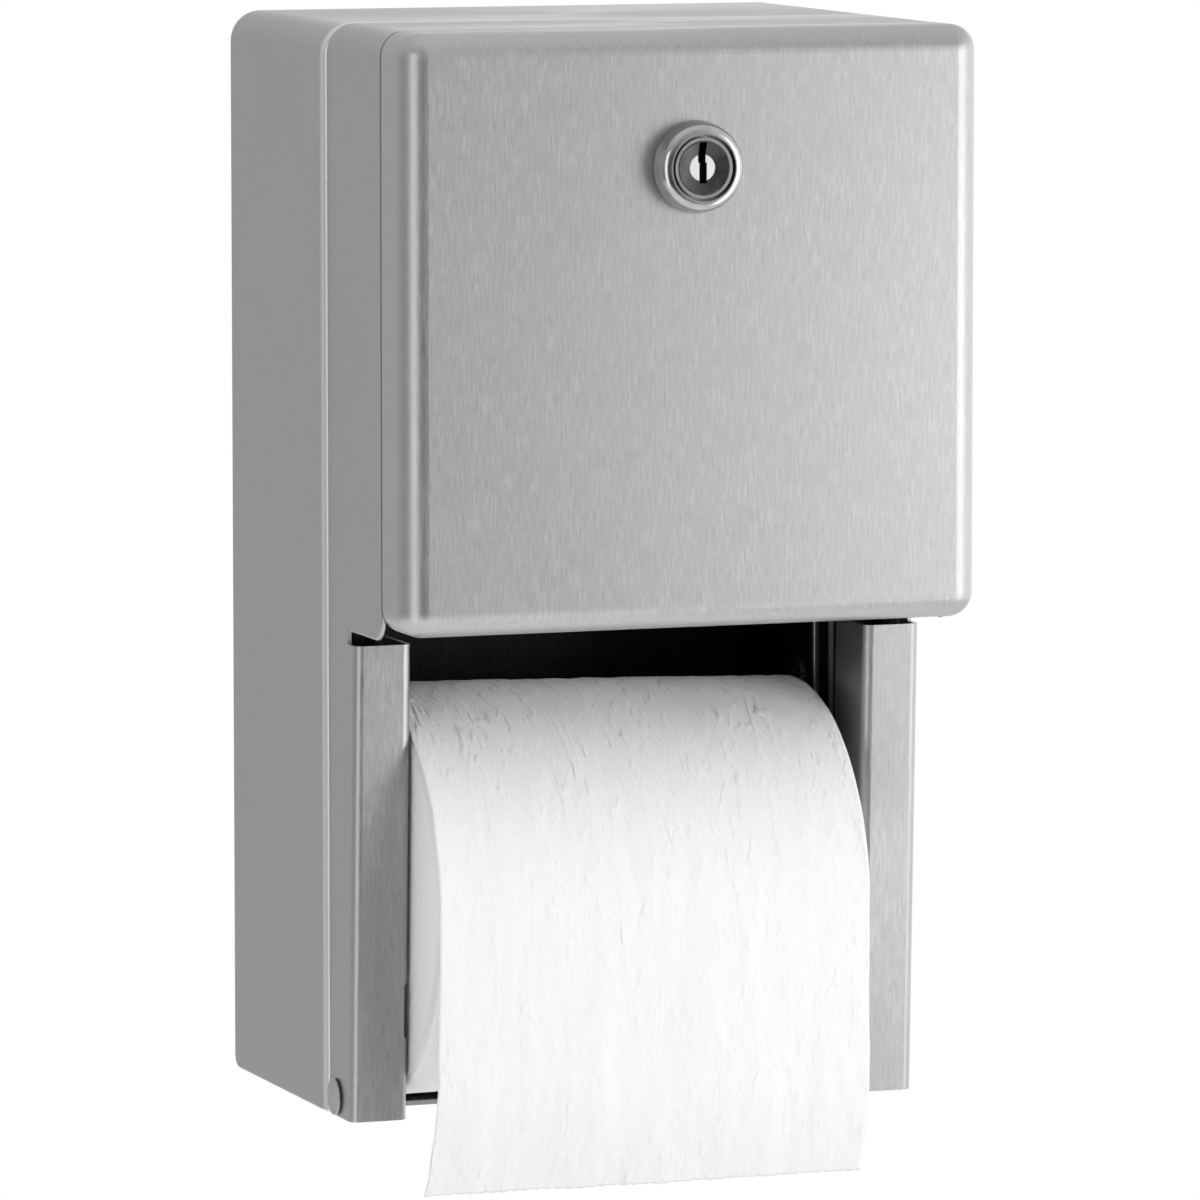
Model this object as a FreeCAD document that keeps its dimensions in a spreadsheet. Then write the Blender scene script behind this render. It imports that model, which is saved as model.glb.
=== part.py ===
"""Surface-mounted toilet paper dispenser for two rolls, in bent and drawn stainless sheet.

Millimetres, +Z up, the front faces -Y. The origin is the centre of the four wall screw
holes, on the plane of the wall. Depths are measured forwards from the wall, heights
upwards from the cabinet's lower edge.
"""
import FreeCAD, Part
import math
import os
import re
import Sketcher

SIZES = (
    # Cabinet
    ("width", 156.0),
    ("height", 280.0),
    ("sheet", 1.0),
    ("cabinet_depth", 78.5),
    ("corner_radius", 8.0),
    ("bend_radius", 1.5),
    ("tongue_reach", 11.5),
    ("tongue_notch", 4.0),
    ("tongue_notch_height", 2.4),
    ("rear_corner", 3.5),
    ("rear_round", 0.6),
    ("back_flange", 12.0),
    ("back_bend", 2.0),
    ("screw_spacing_across", 100.0),
    ("screw_spacing_up", 200.0),
    ("screw_hole_radius", 3.2),
    ("cut_overrun", 1.0),
    # Floor
    ("floor_sheet", 1.2),
    ("floor_set_back", 8.5),
    ("floor_tongue", 5.5),
    ("floor_side_gap", 1.5),
    ("floor_corner", 3.0),
    ("floor_flange", 12.0),
    # Door frame and drawn panel
    ("step_in", 0.8),
    ("door_gap", 0.3),
    ("hood_reach", 43.0),
    ("hood_height", 153.7),
    ("hood_corner", 6.0),
    ("hood_lip", 8.0),
    ("hood_bend", 0.8),
    ("slot_height", 3.3),
    ("leg_reach", 17.3),
    ("leg_lean", 4.3),
    ("leg_face", 15.3),
    ("leg_return", 20.5),
    ("leg_bend", 2.4),
    ("neck_set_back", 6.0),
    ("notch_height", 19.4),
    ("notch_length", 17.6),
    ("notch_reach", 10.0),
    ("notch_width", 1.2),
    ("notch_slope", 2.2),
    ("panel_draw", 18.5),
    ("panel_height", 151.3),
    ("panel_overlap", 0.2),
    ("panel_radius", 6.5),
    # Hinge at the lower edge
    ("pivot_reach", 5.3),
    ("pivot_height", 5.0),
    ("pivot_radius", 2.5),
    ("running_gap", 0.05),
    ("rivet_head_radius", 4.75),
    ("rivet_head_height", 0.9),
    ("rivet_head_round", 0.2),
    ("rivet_shoulder_radius", 3.4),
    ("rivet_shoulder_height", 0.5),
    ("rivet_tail_radius", 3.2),
    ("rivet_tail_height", 1.2),
    ("rivet_gap", 0.1),
    ("washer_radius", 3.7),
    ("washer_height", 1.0),
    # Guide plates and their vertical tracks
    ("guide_inset", 13.5),
    ("guide_top_gap", 10.0),
    ("guide_reach", 1.5),
    ("guide_flange", 10.0),
    ("guide_bend", 1.5),
    ("track_set_back", 14.0),
    ("track_width", 18.0),
    ("track_reach", 7.5),
    ("seat_gap", 0.3),
    ("roll_floor_gap", 2.0),
    ("roll_spacing", 21.0),
    ("gate_gap", 2.0),
    ("gate_height", 24.0),
    # Spindles, cores and paper
    ("drum_inset", 10.0),
    ("drum_slope", 7.0),
    ("trunnion_edge", 1.0),
    ("core_radius", 22.0),
    ("core_wall", 1.0),
    ("roll_rear_room", 13.0),
    ("roll_side_room", 6.15),
    ("roll_shift", -2.85),
    ("tail_gap", 0.3),
    ("tail_thickness", 0.6),
    ("tail_wrap", 90.0),
    ("tail_start", 4.0),
    ("tail_drop", 17.0),
    ("tail_bend_height", 8.0),
    ("tail_bend_radius", 40.0),
    ("tail_curl", 9.0),
    # Drop cams that hold the reserve roll
    ("cam_plate", 1.5),
    ("cam_gap", 1.5),
    ("cam_pivot_set_back", 21.0),
    ("cam_pivot_drop", 77.0),
    ("cam_half_width", 5.0),
    ("cam_eye_radius", 7.5),
    ("cam_corner", 2.0),
    ("finger_reach", 22.0),
    ("finger_foot", 54.0),
    ("finger_root", 50.0),
    ("nose_reach", 11.5),
    ("nose_foot", 39.0),
    ("nose_top", 29.0),
    ("nose_root", 25.0),
    ("cam_slot_gap", 0.5),
    ("cam_slot_room", 3.0),
    ("cam_pin_radius", 3.0),
    ("cam_pin_head_radius", 4.5),
    ("cam_pin_head_height", 0.8),
    ("cam_pin_end", 1.0),
    ("clip_radius", 5.5),
    ("clip_height", 0.8),
    ("clip_gap", 0.3),
    ("spring_strip", 0.6),
    ("spring_width", 5.0),
    ("spring_foot", 12.0),
    ("spring_rise", 10.0),
    ("spring_tip", 28.0),
    ("spring_bend", 3.0),
    # Lock in the panel and its strike
    ("lock_drop", 34.45),
    ("lock_base_radius", 11.7),
    ("lock_shoulder_radius", 10.8),
    ("lock_rim", 1.2),
    ("lock_round", 2.6),
    ("lock_face", 6.1),
    ("lock_groove", 0.75),
    ("barrel_radius", 7.65),
    ("barrel_set_back", 0.4),
    ("collar_radius", 8.9),
    ("collar_height", 1.6),
    ("collar_gap", 0.2),
    ("plug_radius", 6.85),
    ("plug_set_back", 0.3),
    ("dish_radius", 3.4),
    ("dish_depth", 1.3),
    ("key_width", 2.0),
    ("key_length", 10.4),
    ("key_rise", 1.3),
    ("key_jog", 0.35),
    ("plug_rim", 0.3),
    ("key_depth", 6.0),
    ("tail_square", 7.0),
    ("nut_flats", 24.0),
    ("nut_height", 4.0),
    ("lock_washer_radius", 12.5),
    ("lock_washer_height", 0.8),
    ("bolt_set_back", 23.2),
    ("bolt_sheet", 2.0),
    ("bolt_length", 24.0),
    ("bolt_width", 12.0),
    ("bolt_corner", 4.0),
    ("bolt_hub_radius", 8.0),
    ("bolt_gap", 0.5),
    ("lock_screw_radius", 2.0),
    ("lock_screw_length", 6.0),
    ("lock_screw_head_radius", 4.5),
    ("lock_screw_head_height", 2.0),
    ("lock_screw_round", 0.5),
    ("strike_sheet", 1.2),
    ("strike_half_width", 15.0),
    ("strike_foot", 30.0),
    ("strike_set_back", 8.5),
    ("strike_drop", 6.5),
    ("strike_lip", 9.1),
    ("strike_bend", 1.8),
)

# Depths, heights and widths that follow from the sizes above
FOLLOWING = (
    ("pivot_depth", "=cabinet_depth + pivot_reach"),
    ("floor_wide_depth", "=cabinet_depth - floor_set_back"),
    ("floor_front_depth", "=floor_wide_depth + floor_tongue"),
    ("floor_half_width", "=width/2 - step_in - leg_face - floor_side_gap"),
    ("door_depth", "=cabinet_depth + hood_reach"),
    ("panel_depth", "=door_depth + panel_draw"),
    ("leg_depth", "=cabinet_depth + leg_reach"),
    ("neck_depth", "=leg_depth + leg_lean - neck_set_back"),
    ("leg_height", "=height - hood_height - slot_height"),
    ("guide_face", "=width/2 - guide_inset"),
    ("guide_depth", "=cabinet_depth + guide_reach"),
    ("track_depth", "=guide_depth - track_set_back"),
    ("roll_radius", "=track_depth - roll_rear_room"),
    ("lower_height", "=roll_radius + roll_floor_gap"),
    ("reserve_height", "=lower_height + 2*roll_radius + roll_spacing"),
    ("drum_half_length", "=guide_face - drum_inset"),
    ("roll_width", "=2*guide_face - 2*roll_side_room"),
    ("cam_pivot_depth", "=track_depth - cam_pivot_set_back"),
    ("cam_pivot_height", "=reserve_height - cam_pivot_drop"),
    ("lock_height", "=height - lock_drop"),
    ("bolt_depth", "=panel_depth - bolt_set_back"),
    ("strike_step_depth", "=cabinet_depth - strike_set_back"),
    ("strike_rear_depth", "=strike_step_depth - strike_foot"),
)

doc = FreeCAD.newDocument("PaperDispenser")
sizes = doc.addObject("Spreadsheet::Sheet", "Sizes")
NAMES = {name for name, content in SIZES + FOLLOWING}
pieces = []
for row, (name, content) in enumerate(SIZES + FOLLOWING, start=1):
    sizes.set("A%d" % row, name)
    sizes.set("B%d" % row, str(content))
    sizes.setAlias("B%d" % row, name)
doc.recompute()

# Levels and half widths that several pieces share
BOTTOM = "(-height/2)"
TOP = "(height/2)"
CABINET_HALF = "(width/2)"
DOOR_HALF = "(width/2 - step_in)"
TONGUE_HALF = "(width/2 - step_in - sheet - door_gap)"
TONGUE_TOP = "(height/2 - sheet - door_gap)"
DOOR_REAR = "(cabinet_depth + door_gap)"
LEG_INNER = "(width/2 - step_in - leg_face)"
HOOD_BOTTOM = "(height/2 - hood_height)"
PIVOT_Z = "(pivot_height - height/2)"
TRACK_REAR = "(track_depth - track_width/2)"
TRACK_FRONT = "(track_depth + track_width/2)"
TRACK_BASE = "(guide_face + track_reach)"
TRUNNION = "(track_width/2 - seat_gap)"
LOWER_Z = "(lower_height - height/2)"
RESERVE_Z = "(reserve_height - height/2)"
CAM_Z = "(cam_pivot_height - height/2)"
CAM_INNER = "(guide_face + sheet + cam_gap)"
CAM_OUTER = "(guide_face + sheet + cam_gap + cam_plate)"
FINGER_RADIUS = ("(sqrt(pow(track_depth - cam_pivot_depth; 2) + pow(reserve_height - cam_pivot_height; 2))"
                 " - track_width/2)")
LOCK_Z = "(lock_height - height/2)"
BOLT_FRONT = "(bolt_depth + bolt_sheet/2)"
BOLT_REAR = "(bolt_depth - bolt_sheet/2)"
BARREL_END = "(bolt_depth + bolt_sheet/2 + bolt_gap)"


def bound(text):
    """The expression with each size's name pointing at its cell."""
    return re.sub(r"[a-z_]+", lambda word: "Sizes." + word[0] if word[0] in NAMES else word[0], text)


def value(text):
    """What an expression of named sizes comes to, in millimetres."""
    return float(sizes.evalExpression(bound(text)))


def new_body(label):
    """A piece of the product: its label names its file."""
    body = doc.addObject("PartDesign::Body", label)
    body.Label = label
    body.AllowCompound = True
    pieces.append(body)
    return body


def placed_body(label, **base):
    """A body whose own origin stands at the given place."""
    body = new_body(label)
    for axis, text in base.items():
        body.setExpression("Placement.Base." + axis, bound(text))
    return body


def origin_part(body, role):
    return next(part for part in body.Origin.OriginFeatures if part.Role == role)


def new_sketch(body, name, plane, start="0"):
    """A sketch on one of the body's own planes, moved along its normal to start."""
    sketch = body.newObject("Sketcher::SketchObject", name + "_outline")
    sketch.AttachmentSupport = [(origin_part(body, plane + "_Plane"), "")]
    sketch.MapMode = "FlatFace"
    sketch.setExpression("AttachmentOffset.Base.z", bound(start))
    return sketch


def hold(sketch, kind, *places_and_text):
    """Add a size to the sketch and bind it to its expression."""
    *places, text = places_and_text
    index = sketch.addConstraint(Sketcher.Constraint(kind, *places, value(text)))
    sketch.setExpression("Constraints[%d]" % index, bound(text))


def hold_point(sketch, place, across, up):
    hold(sketch, "DistanceX", -1, 1, *place, across)
    hold(sketch, "DistanceY", -1, 1, *place, up)


def draw(sketch, corners):
    """A closed outline; a corner's third entry, where it has one, is its rounding radius."""
    count = len(corners)
    points = [FreeCAD.Vector(value(corner[0]), value(corner[1]), 0) for corner in corners]
    enters, leaves, arcs = [], [], []
    for index, (across, up, *rounding) in enumerate(corners):
        here = points[index]
        if not rounding:
            enters.append(here)
            leaves.append(here)
            arcs.append(None)
            continue
        back = (points[index - 1] - here).normalize()
        ahead = (points[(index + 1) % count] - here).normalize()
        half_angle = back.getAngle(ahead) / 2
        radius = value(rounding[0])
        enters.append(here + back * (radius / math.tan(half_angle)))
        leaves.append(here + ahead * (radius / math.tan(half_angle)))
        centre = here + (back + ahead).normalize() * (radius / math.sin(half_angle))
        arcs.append((centre, radius, ahead.cross(back).z > 0))
    lines = [sketch.addGeometry(Part.LineSegment(leaves[index], enters[(index + 1) % count]), False)
             for index in range(count)]
    for index, (across, up, *rounding) in enumerate(corners):
        before, after = lines[index - 1], lines[index]
        if not rounding:
            sketch.addConstraint(Sketcher.Constraint("Coincident", before, 2, after, 1))
            hold_point(sketch, (after, 1), across, up)
            continue
        centre, radius, turns_left = arcs[index]
        ends = (enters[index], leaves[index]) if turns_left else (leaves[index], enters[index])
        angles = [math.atan2(end.y - centre.y, end.x - centre.x) for end in ends]
        if angles[1] < angles[0]:
            angles[1] += 2 * math.pi
        circle = Part.Circle(centre, FreeCAD.Vector(0, 0, 1), radius)
        arc = sketch.addGeometry(Part.ArcOfCircle(circle, *angles), False)
        first, last = (1, 2) if turns_left else (2, 1)
        sketch.addConstraint(Sketcher.Constraint("Tangent", before, 2, arc, first))
        sketch.addConstraint(Sketcher.Constraint("Tangent", arc, last, after, 1))
        hold(sketch, "Radius", arc, rounding[0])
        peak = sketch.addGeometry(Part.Point(points[index]), True)
        sketch.addConstraint(Sketcher.Constraint("PointOnObject", peak, 1, before))
        sketch.addConstraint(Sketcher.Constraint("PointOnObject", peak, 1, after))
        hold_point(sketch, (peak, 1), across, up)


def draw_circle(sketch, across, up, radius):
    centre = FreeCAD.Vector(value(across), value(up), 0)
    circle = Part.Circle(centre, FreeCAD.Vector(0, 0, 1), value(radius))
    index = sketch.addGeometry(circle, False)
    hold(sketch, "Radius", index, radius)
    hold_point(sketch, (index, 3), across, up)


def extrude(kind, body, name, plane, shapes, start, length):
    """Pad or pocket the outlines along the plane's normal, from start over length."""
    sketch = new_sketch(body, name, plane, start)
    for shape in shapes:
        if isinstance(shape, tuple):
            draw_circle(sketch, *shape)
        else:
            draw(sketch, shape)
    feature = body.newObject("PartDesign::" + kind, name)
    feature.Profile = sketch
    feature.Reversed = kind == "Pocket"
    feature.setExpression("Length", bound(length))
    return feature


def pad(body, name, plane, shapes, start, length):
    return extrude("Pad", body, name, plane, shapes, start, length)


def pocket(body, name, plane, shapes, start, length):
    return extrude("Pocket", body, name, plane, shapes, start, length)


def revolve(body, name, plane, corners, axis):
    sketch = new_sketch(body, name, plane)
    draw(sketch, corners)
    feature = body.newObject("PartDesign::Revolution", name)
    feature.Profile = sketch
    feature.ReferenceAxis = (origin_part(body, axis + "_Axis"), [""])
    return feature


def mirror(body, features):
    """Repeat features on the other side of the middle plane."""
    doc.recompute()
    feature = body.newObject("PartDesign::Mirrored", features[0].Name + "_pair")
    feature.Originals = features
    feature.MirrorPlane = (origin_part(body, "YZ_Plane"), [""])
    body.Tip = feature
    return feature


def round_edges(body, name, base, radius, wanted):
    """Fillet the edges of base whose middle passes the test."""
    doc.recompute()
    edges = ["Edge%d" % number for number, edge in enumerate(base.Shape.Edges, start=1)
             if wanted(edge.CenterOfMass, edge)]
    feature = body.newObject("PartDesign::Fillet", name)
    feature.Base = (base, edges)
    feature.setExpression("Radius", bound(radius))
    return feature


def near(first, second):
    return abs(first - second) < 1e-6


def block(low_across, high_across, low_up, high_up):
    return [(low_across, low_up), (high_across, low_up), (high_across, high_up), (low_across, high_up)]


def hoop(half, top, bottom, radius, wall, inner_radius=None):
    """Two sides and a top in one band, open below, with rounded upper corners."""
    inner_half = "(%s - %s)" % (half, wall)
    inner_top = "(%s - %s)" % (top, wall)
    rounding = (inner_radius,) if inner_radius else ()
    return [("-" + half, bottom), ("-" + half, top, radius), (half, top, radius), (half, bottom),
            (inner_half, bottom), (inner_half, inner_top) + rounding,
            ("-" + inner_half, inner_top) + rounding, ("-" + inner_half, bottom)]


def signed(side, text):
    return text if side > 0 else "-" + text


def cabinet_shell():
    """Sides and top, with a joggled tongue in front that the door closes over."""
    body = new_body("cabinet_shell")
    pad(body, "cabinet_sides", "XZ",
        [hoop(CABINET_HALF, TOP, BOTTOM, "corner_radius", "sheet", "corner_radius - sheet")],
        "0", "cabinet_depth")
    wall = "(%s - %s + sheet)" % (CABINET_HALF, TONGUE_HALF)
    web = hoop(CABINET_HALF, TOP, BOTTOM, "corner_radius", wall, "corner_radius - " + wall)
    inner_top = "(%s - sheet)" % TONGUE_TOP
    web[5] = (web[5][0], inner_top, web[5][2])
    web[6] = (web[6][0], inner_top, web[6][2])
    step = pad(body, "joggle_step", "XZ", [web], "cabinet_depth - sheet", "sheet")
    corner_half = value(CABINET_HALF + " - sheet - corner_radius")
    corner_top = value(TOP + " - door_gap - corner_radius")

    def outer_rim(level):
        """The test for edges of the outer skin that lie at one depth."""
        def wanted(middle, edge):
            if not near(middle.y, level):
                return False
            if near(abs(middle.x), value(CABINET_HALF)) or near(middle.z, value(TOP)):
                return True
            if edge.Curve.TypeId != "Part::GeomCircle" or not near(edge.Curve.Radius, value("corner_radius")):
                return False
            return abs(middle.x) > corner_half and middle.z > corner_top
        return wanted

    bend = round_edges(body, "joggle_round", step, "bend_radius", outer_rim(-value("cabinet_depth")))
    bottom = value(BOTTOM)
    feet = round_edges(body, "rear_corners", bend, "rear_corner",
                       lambda middle, edge: near(middle.y, 0) and near(middle.z, bottom))
    round_edges(body, "rear_edge", feet, "rear_round", outer_rim(0))
    tongue_radius = "(corner_radius - %s + %s)" % (CABINET_HALF, TONGUE_HALF)
    pad(body, "tongue", "XZ",
        [hoop(TONGUE_HALF, TONGUE_TOP, BOTTOM, tongue_radius, "sheet", tongue_radius + " - sheet")],
        "cabinet_depth - sheet", "tongue_reach + sheet")
    pocket(body, "rivet_holes", "YZ", [("-pivot_depth", PIVOT_Z, "pivot_radius")],
           "-width/2", "width")
    pocket(body, "tongue_notches", "YZ",
           [block("-(cabinet_depth + tongue_notch)", "-cabinet_depth", "(%s - cut_overrun)" % BOTTOM,
                  "(%s + tongue_notch_height)" % BOTTOM)],
           "-width/2", "width")


def back_plate():
    """Flat back with folded side flanges and the four wall screw holes."""
    body = new_body("back_plate")
    half = "(width/2 - sheet)"
    inner = "(width/2 - 2*sheet)"
    upper = "(height/2 - corner_radius)"
    pad(body, "back_tray", "XY",
        [[("-" + half, "0", "back_bend"), (half, "0", "back_bend"), (half, "-back_flange"),
          (inner, "-back_flange"), (inner, "-sheet", "back_bend - sheet"),
          ("-" + inner, "-sheet", "back_bend - sheet"), ("-" + inner, "-back_flange"),
          ("-" + half, "-back_flange")]],
        BOTTOM + " + rear_corner", "%s - rear_corner - %s" % (upper, BOTTOM))
    pad(body, "back_top", "XZ",
        [[("(-width/2 + back_bend + sheet)", upper), ("(-width/2 + corner_radius)", "(height/2 - sheet)"),
          ("(width/2 - corner_radius)", "(height/2 - sheet)"), ("(width/2 - back_bend - sheet)", upper)]],
        "0", "sheet")
    holes = [(signed(side, "screw_spacing_across/2"), signed(up, "screw_spacing_up/2"), "screw_hole_radius")
             for side in (-1, 1) for up in (-1, 1)]
    pocket(body, "screw_holes", "XZ", holes, "-cut_overrun", "sheet + 2*cut_overrun")


def floor_plate():
    """Floor between the sides, with a tongue between the door's legs and a rear flange."""
    body = new_body("floor_plate")
    wide = "(width/2 - 2*sheet)"
    pad(body, "floor", "XY",
        [[("-" + wide, "-sheet", "back_bend - sheet"), (wide, "-sheet", "back_bend - sheet"),
          (wide, "-floor_wide_depth"),
          ("floor_half_width", "-floor_wide_depth"),
          ("floor_half_width", "-floor_front_depth", "floor_corner"),
          ("-floor_half_width", "-floor_front_depth", "floor_corner"),
          ("-floor_half_width", "-floor_wide_depth"), ("-" + wide, "-floor_wide_depth")]],
        BOTTOM, "floor_sheet")
    pad(body, "floor_upstand", "XZ",
        [block("-floor_half_width", "floor_half_width", BOTTOM, BOTTOM + " + floor_flange")],
        "sheet", "floor_sheet")


def guide(label, side):
    """Inner guide plate with the vertical track that a spindle's end slides down."""
    body = new_body(label)
    face = [("(guide_face + guide_flange)", "-sheet"), ("guide_face", "-sheet", "guide_bend"),
            ("guide_face", "-" + TRACK_REAR, "guide_bend - sheet"), (TRACK_BASE, "-" + TRACK_REAR),
            (TRACK_BASE, "-" + TRACK_FRONT), ("guide_face", "-" + TRACK_FRONT, "guide_bend - sheet"),
            ("guide_face", "-guide_depth", "guide_bend"), ("(%s - sheet)" % TONGUE_HALF, "-guide_depth")]
    outside = "(guide_face + sheet)"
    base = "(%s + sheet)" % TRACK_BASE
    back = [("(%s - sheet)" % TONGUE_HALF, "-(guide_depth - sheet)"), (outside, "-(guide_depth - sheet)"),
            (outside, "-(%s + sheet)" % TRACK_FRONT), (base, "-(%s + sheet)" % TRACK_FRONT),
            (base, "-(%s - sheet)" % TRACK_REAR), (outside, "-(%s - sheet)" % TRACK_REAR),
            (outside, "-2*sheet"), ("(guide_face + guide_flange)", "-2*sheet")]
    outline = [(signed(side, corner[0]),) + corner[1:] for corner in face + back]
    low = BOTTOM + " + floor_sheet"
    pad(body, label + "_plate", "XY", [outline], low, "height - floor_sheet - guide_top_gap")
    track = block(signed(side, "guide_face"), signed(side, TRACK_BASE), "-" + TRACK_FRONT, "-" + TRACK_REAR)
    pad(body, label + "_stop", "XY", [track],
        "%s - %s - seat_gap - sheet" % (LOWER_Z, TRUNNION), "sheet")
    gate = block(signed(side, "(guide_face - cut_overrun)"), signed(side, TRACK_BASE),
                 "-(guide_depth + cut_overrun)", "-" + TRACK_FRONT)
    pocket(body, label + "_gate", "XY", [gate],
           "%s + %s + gate_gap" % (RESERVE_Z, TRUNNION), "gate_height")
    slot_low = signed(side, "(%s - cam_slot_gap)" % CAM_INNER)
    slot_high = signed(side, "(%s + cam_slot_gap)" % CAM_OUTER)
    slots = [block(slot_low, slot_high, CAM_Z + " + finger_root - cam_slot_room",
                   CAM_Z + " + " + FINGER_RADIUS + " + cam_slot_room"),
             block(slot_low, slot_high, CAM_Z + " - nose_foot - cam_slot_room/2",
                   CAM_Z + " - nose_root + cam_slot_room")]
    pocket(body, label + "_slots", "XZ", slots,
           TRACK_REAR + " - sheet - cut_overrun", "sheet + 2*cut_overrun")
    pocket(body, label + "_pin_hole", "YZ", [("-cam_pivot_depth", CAM_Z, "cam_pin_radius")],
           signed(side, "(guide_face + sheet/2)") + " - sheet", "2*sheet")


def strike_bracket():
    """Stepped bracket under the cabinet's top; its lip stops the lock's bolt."""
    body = new_body("strike_bracket")
    upper = "(height/2 - sheet)"
    arm_top = "(height/2 - sheet - strike_drop)"
    lip_rear = "(%s + bolt_gap)" % BOLT_FRONT
    lip_front = "(%s + bolt_gap + strike_sheet)" % BOLT_FRONT
    lip_low = "(%s - strike_lip)" % arm_top
    pad(body, "strike", "YZ",
        [[("-strike_rear_depth", upper), ("-strike_step_depth", upper, "strike_bend"),
          ("-strike_step_depth", arm_top, "strike_bend - strike_sheet"),
          ("-" + lip_front, arm_top, "strike_bend"), ("-" + lip_front, lip_low), ("-" + lip_rear, lip_low),
          ("-" + lip_rear, arm_top + " - strike_sheet", "strike_bend - strike_sheet"),
          ("-(strike_step_depth - strike_sheet)", arm_top + " - strike_sheet", "strike_bend"),
          ("-(strike_step_depth - strike_sheet)", upper + " - strike_sheet", "strike_bend - strike_sheet"),
          ("-strike_rear_depth", upper + " - strike_sheet")]],
        "-strike_half_width", "2*strike_half_width")


def door_frame():
    """Hood flanges above, two folded legs below, joined by a neck behind the relief slots."""
    body = new_body("door_frame")
    radius = "(corner_radius - step_in)"
    inner = "(%s - sheet)" % DOOR_HALF
    hood = pad(body, "hood", "XZ",
               [hoop(DOOR_HALF, TOP, HOOD_BOTTOM, radius, "sheet", radius + " - sheet")],
               DOOR_REAR, "door_depth - " + DOOR_REAR)
    front, low = -value("door_depth"), value(HOOD_BOTTOM)
    round_edges(body, "hood_corners", hood, "hood_corner",
                lambda middle, edge: near(middle.y, front) and near(middle.z, low))
    lip = pad(body, "hood_lip_band", "XZ",
              [hoop(DOOR_HALF, TOP, HOOD_BOTTOM + " + hood_corner", radius, "hood_lip")],
              "door_depth - sheet", "sheet")
    side, top = value(inner), value(TOP + " - sheet")

    def front_bend(middle, edge):
        return near(middle.y, front) and (abs(middle.x) > side or middle.z > top)

    round_edges(body, "hood_front_bend", lip, "hood_bend", front_bend)
    necks, legs, sides = [], [], []
    for side in (-1, 1):
        necks.append(block(signed(side, inner), signed(side, DOOR_HALF), "-neck_depth", "-" + DOOR_REAR))
        sides.append(block(signed(side, inner), signed(side, DOOR_HALF), "-(leg_depth - leg_bend)",
                           "-" + DOOR_REAR))
        outline = [(DOOR_HALF, "-" + DOOR_REAR), (DOOR_HALF, "-leg_depth", "leg_bend"),
                   (LEG_INNER, "-leg_depth", "leg_bend"), (LEG_INNER, "-(leg_depth - leg_return)"),
                   ("(%s + sheet)" % LEG_INNER, "-(leg_depth - leg_return)"),
                   ("(%s + sheet)" % LEG_INNER, "-(leg_depth - sheet)", "leg_bend - sheet"),
                   (inner, "-(leg_depth - sheet)", "leg_bend - sheet"), (inner, "-" + DOOR_REAR)]
        legs.append([(signed(side, corner[0]),) + corner[1:] for corner in outline])
    pad(body, "necks", "XY", necks, BOTTOM + " + leg_height",
        "%s + hood_bend - %s - leg_height" % (HOOD_BOTTOM, BOTTOM))
    leaning = pad(body, "legs", "XY", legs, BOTTOM, "leg_height")
    leaning.UseCustomVector = True
    leaning.Direction = FreeCAD.Vector(0, 0, 1)
    leaning.setExpression("Direction.y", bound("-leg_lean"))
    leaning.setExpression("Direction.z", bound("leg_height"))
    feet = pad(body, "leg_sides", "XY", sides, BOTTOM, "leg_height")
    rear, bottom = -value(DOOR_REAR), value(BOTTOM)
    outer = value(inner)

    def rear_foot(middle, edge):
        return near(middle.y, rear) and near(middle.z, bottom) and abs(middle.x) > outer

    round_edges(body, "knuckles", feet, "pivot_depth - " + DOOR_REAR, rear_foot)
    pocket(body, "pivot_holes", "YZ", [("-pivot_depth", PIVOT_Z, "pivot_radius + running_gap")],
           "-width/2", "width")
    notch_low = BOTTOM + " + notch_height"
    notch_high = notch_low + " + notch_length"
    notch = [("(%s - cut_overrun)" % LEG_INNER, notch_low),
             ("(%s + notch_width)" % LEG_INNER, notch_low + " + notch_slope"),
             ("(%s + notch_width)" % LEG_INNER, notch_high + " - notch_slope"),
             ("(%s - cut_overrun)" % LEG_INNER, notch_high)]
    notches = [[(signed(side, across), up) for across, up in notch] for side in (-1, 1)]
    pocket(body, "leg_notches", "XZ", notches, "leg_depth - notch_reach", "notch_reach + cut_overrun")


def drawn_block(body, name, inset):
    """A solid the size of the drawn pan, inset on all sides but its open rear."""
    half = "(%s + panel_overlap - %s)" % (DOOR_HALF, inset)
    box = body.newObject("PartDesign::AdditiveBox", name)
    box.AttachmentSupport = [(origin_part(body, "XY_Plane"), "")]
    box.MapMode = "FlatFace"
    bindings = {"Length": "2*" + half, "Width": "panel_depth - door_depth - " + inset,
                "Height": "panel_height - 2*" + inset,
                "AttachmentOffset.Base.x": "-" + half, "AttachmentOffset.Base.y": "%s - panel_depth" % inset,
                "AttachmentOffset.Base.z": "%s - panel_height + %s" % (TOP, inset)}
    for size, text in bindings.items():
        box.setExpression(size, bound(text))
    rear = -value("door_depth")
    return round_edges(body, name + "_round", box, "panel_radius - " + inset,
                       lambda middle, edge: not near(middle.y, rear))


def door_panel():
    """Drawn pan with one radius along all its edges, and the lock's hole."""
    body = new_body("door_panel")
    drawn_block(body, "pan", "0")
    hollow = doc.addObject("PartDesign::Body", "pan_hollow")
    drawn_block(hollow, "hollow", "sheet")
    doc.recompute()
    drawing = body.newObject("PartDesign::Boolean", "pan_wall")
    drawing.Type = "Cut"
    drawing.setObjects([hollow])
    pocket(body, "lock_hole", "XZ", [("0", LOCK_Z, "barrel_radius + collar_gap")],
           "panel_depth - sheet - cut_overrun", "sheet + 2*cut_overrun")


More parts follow.
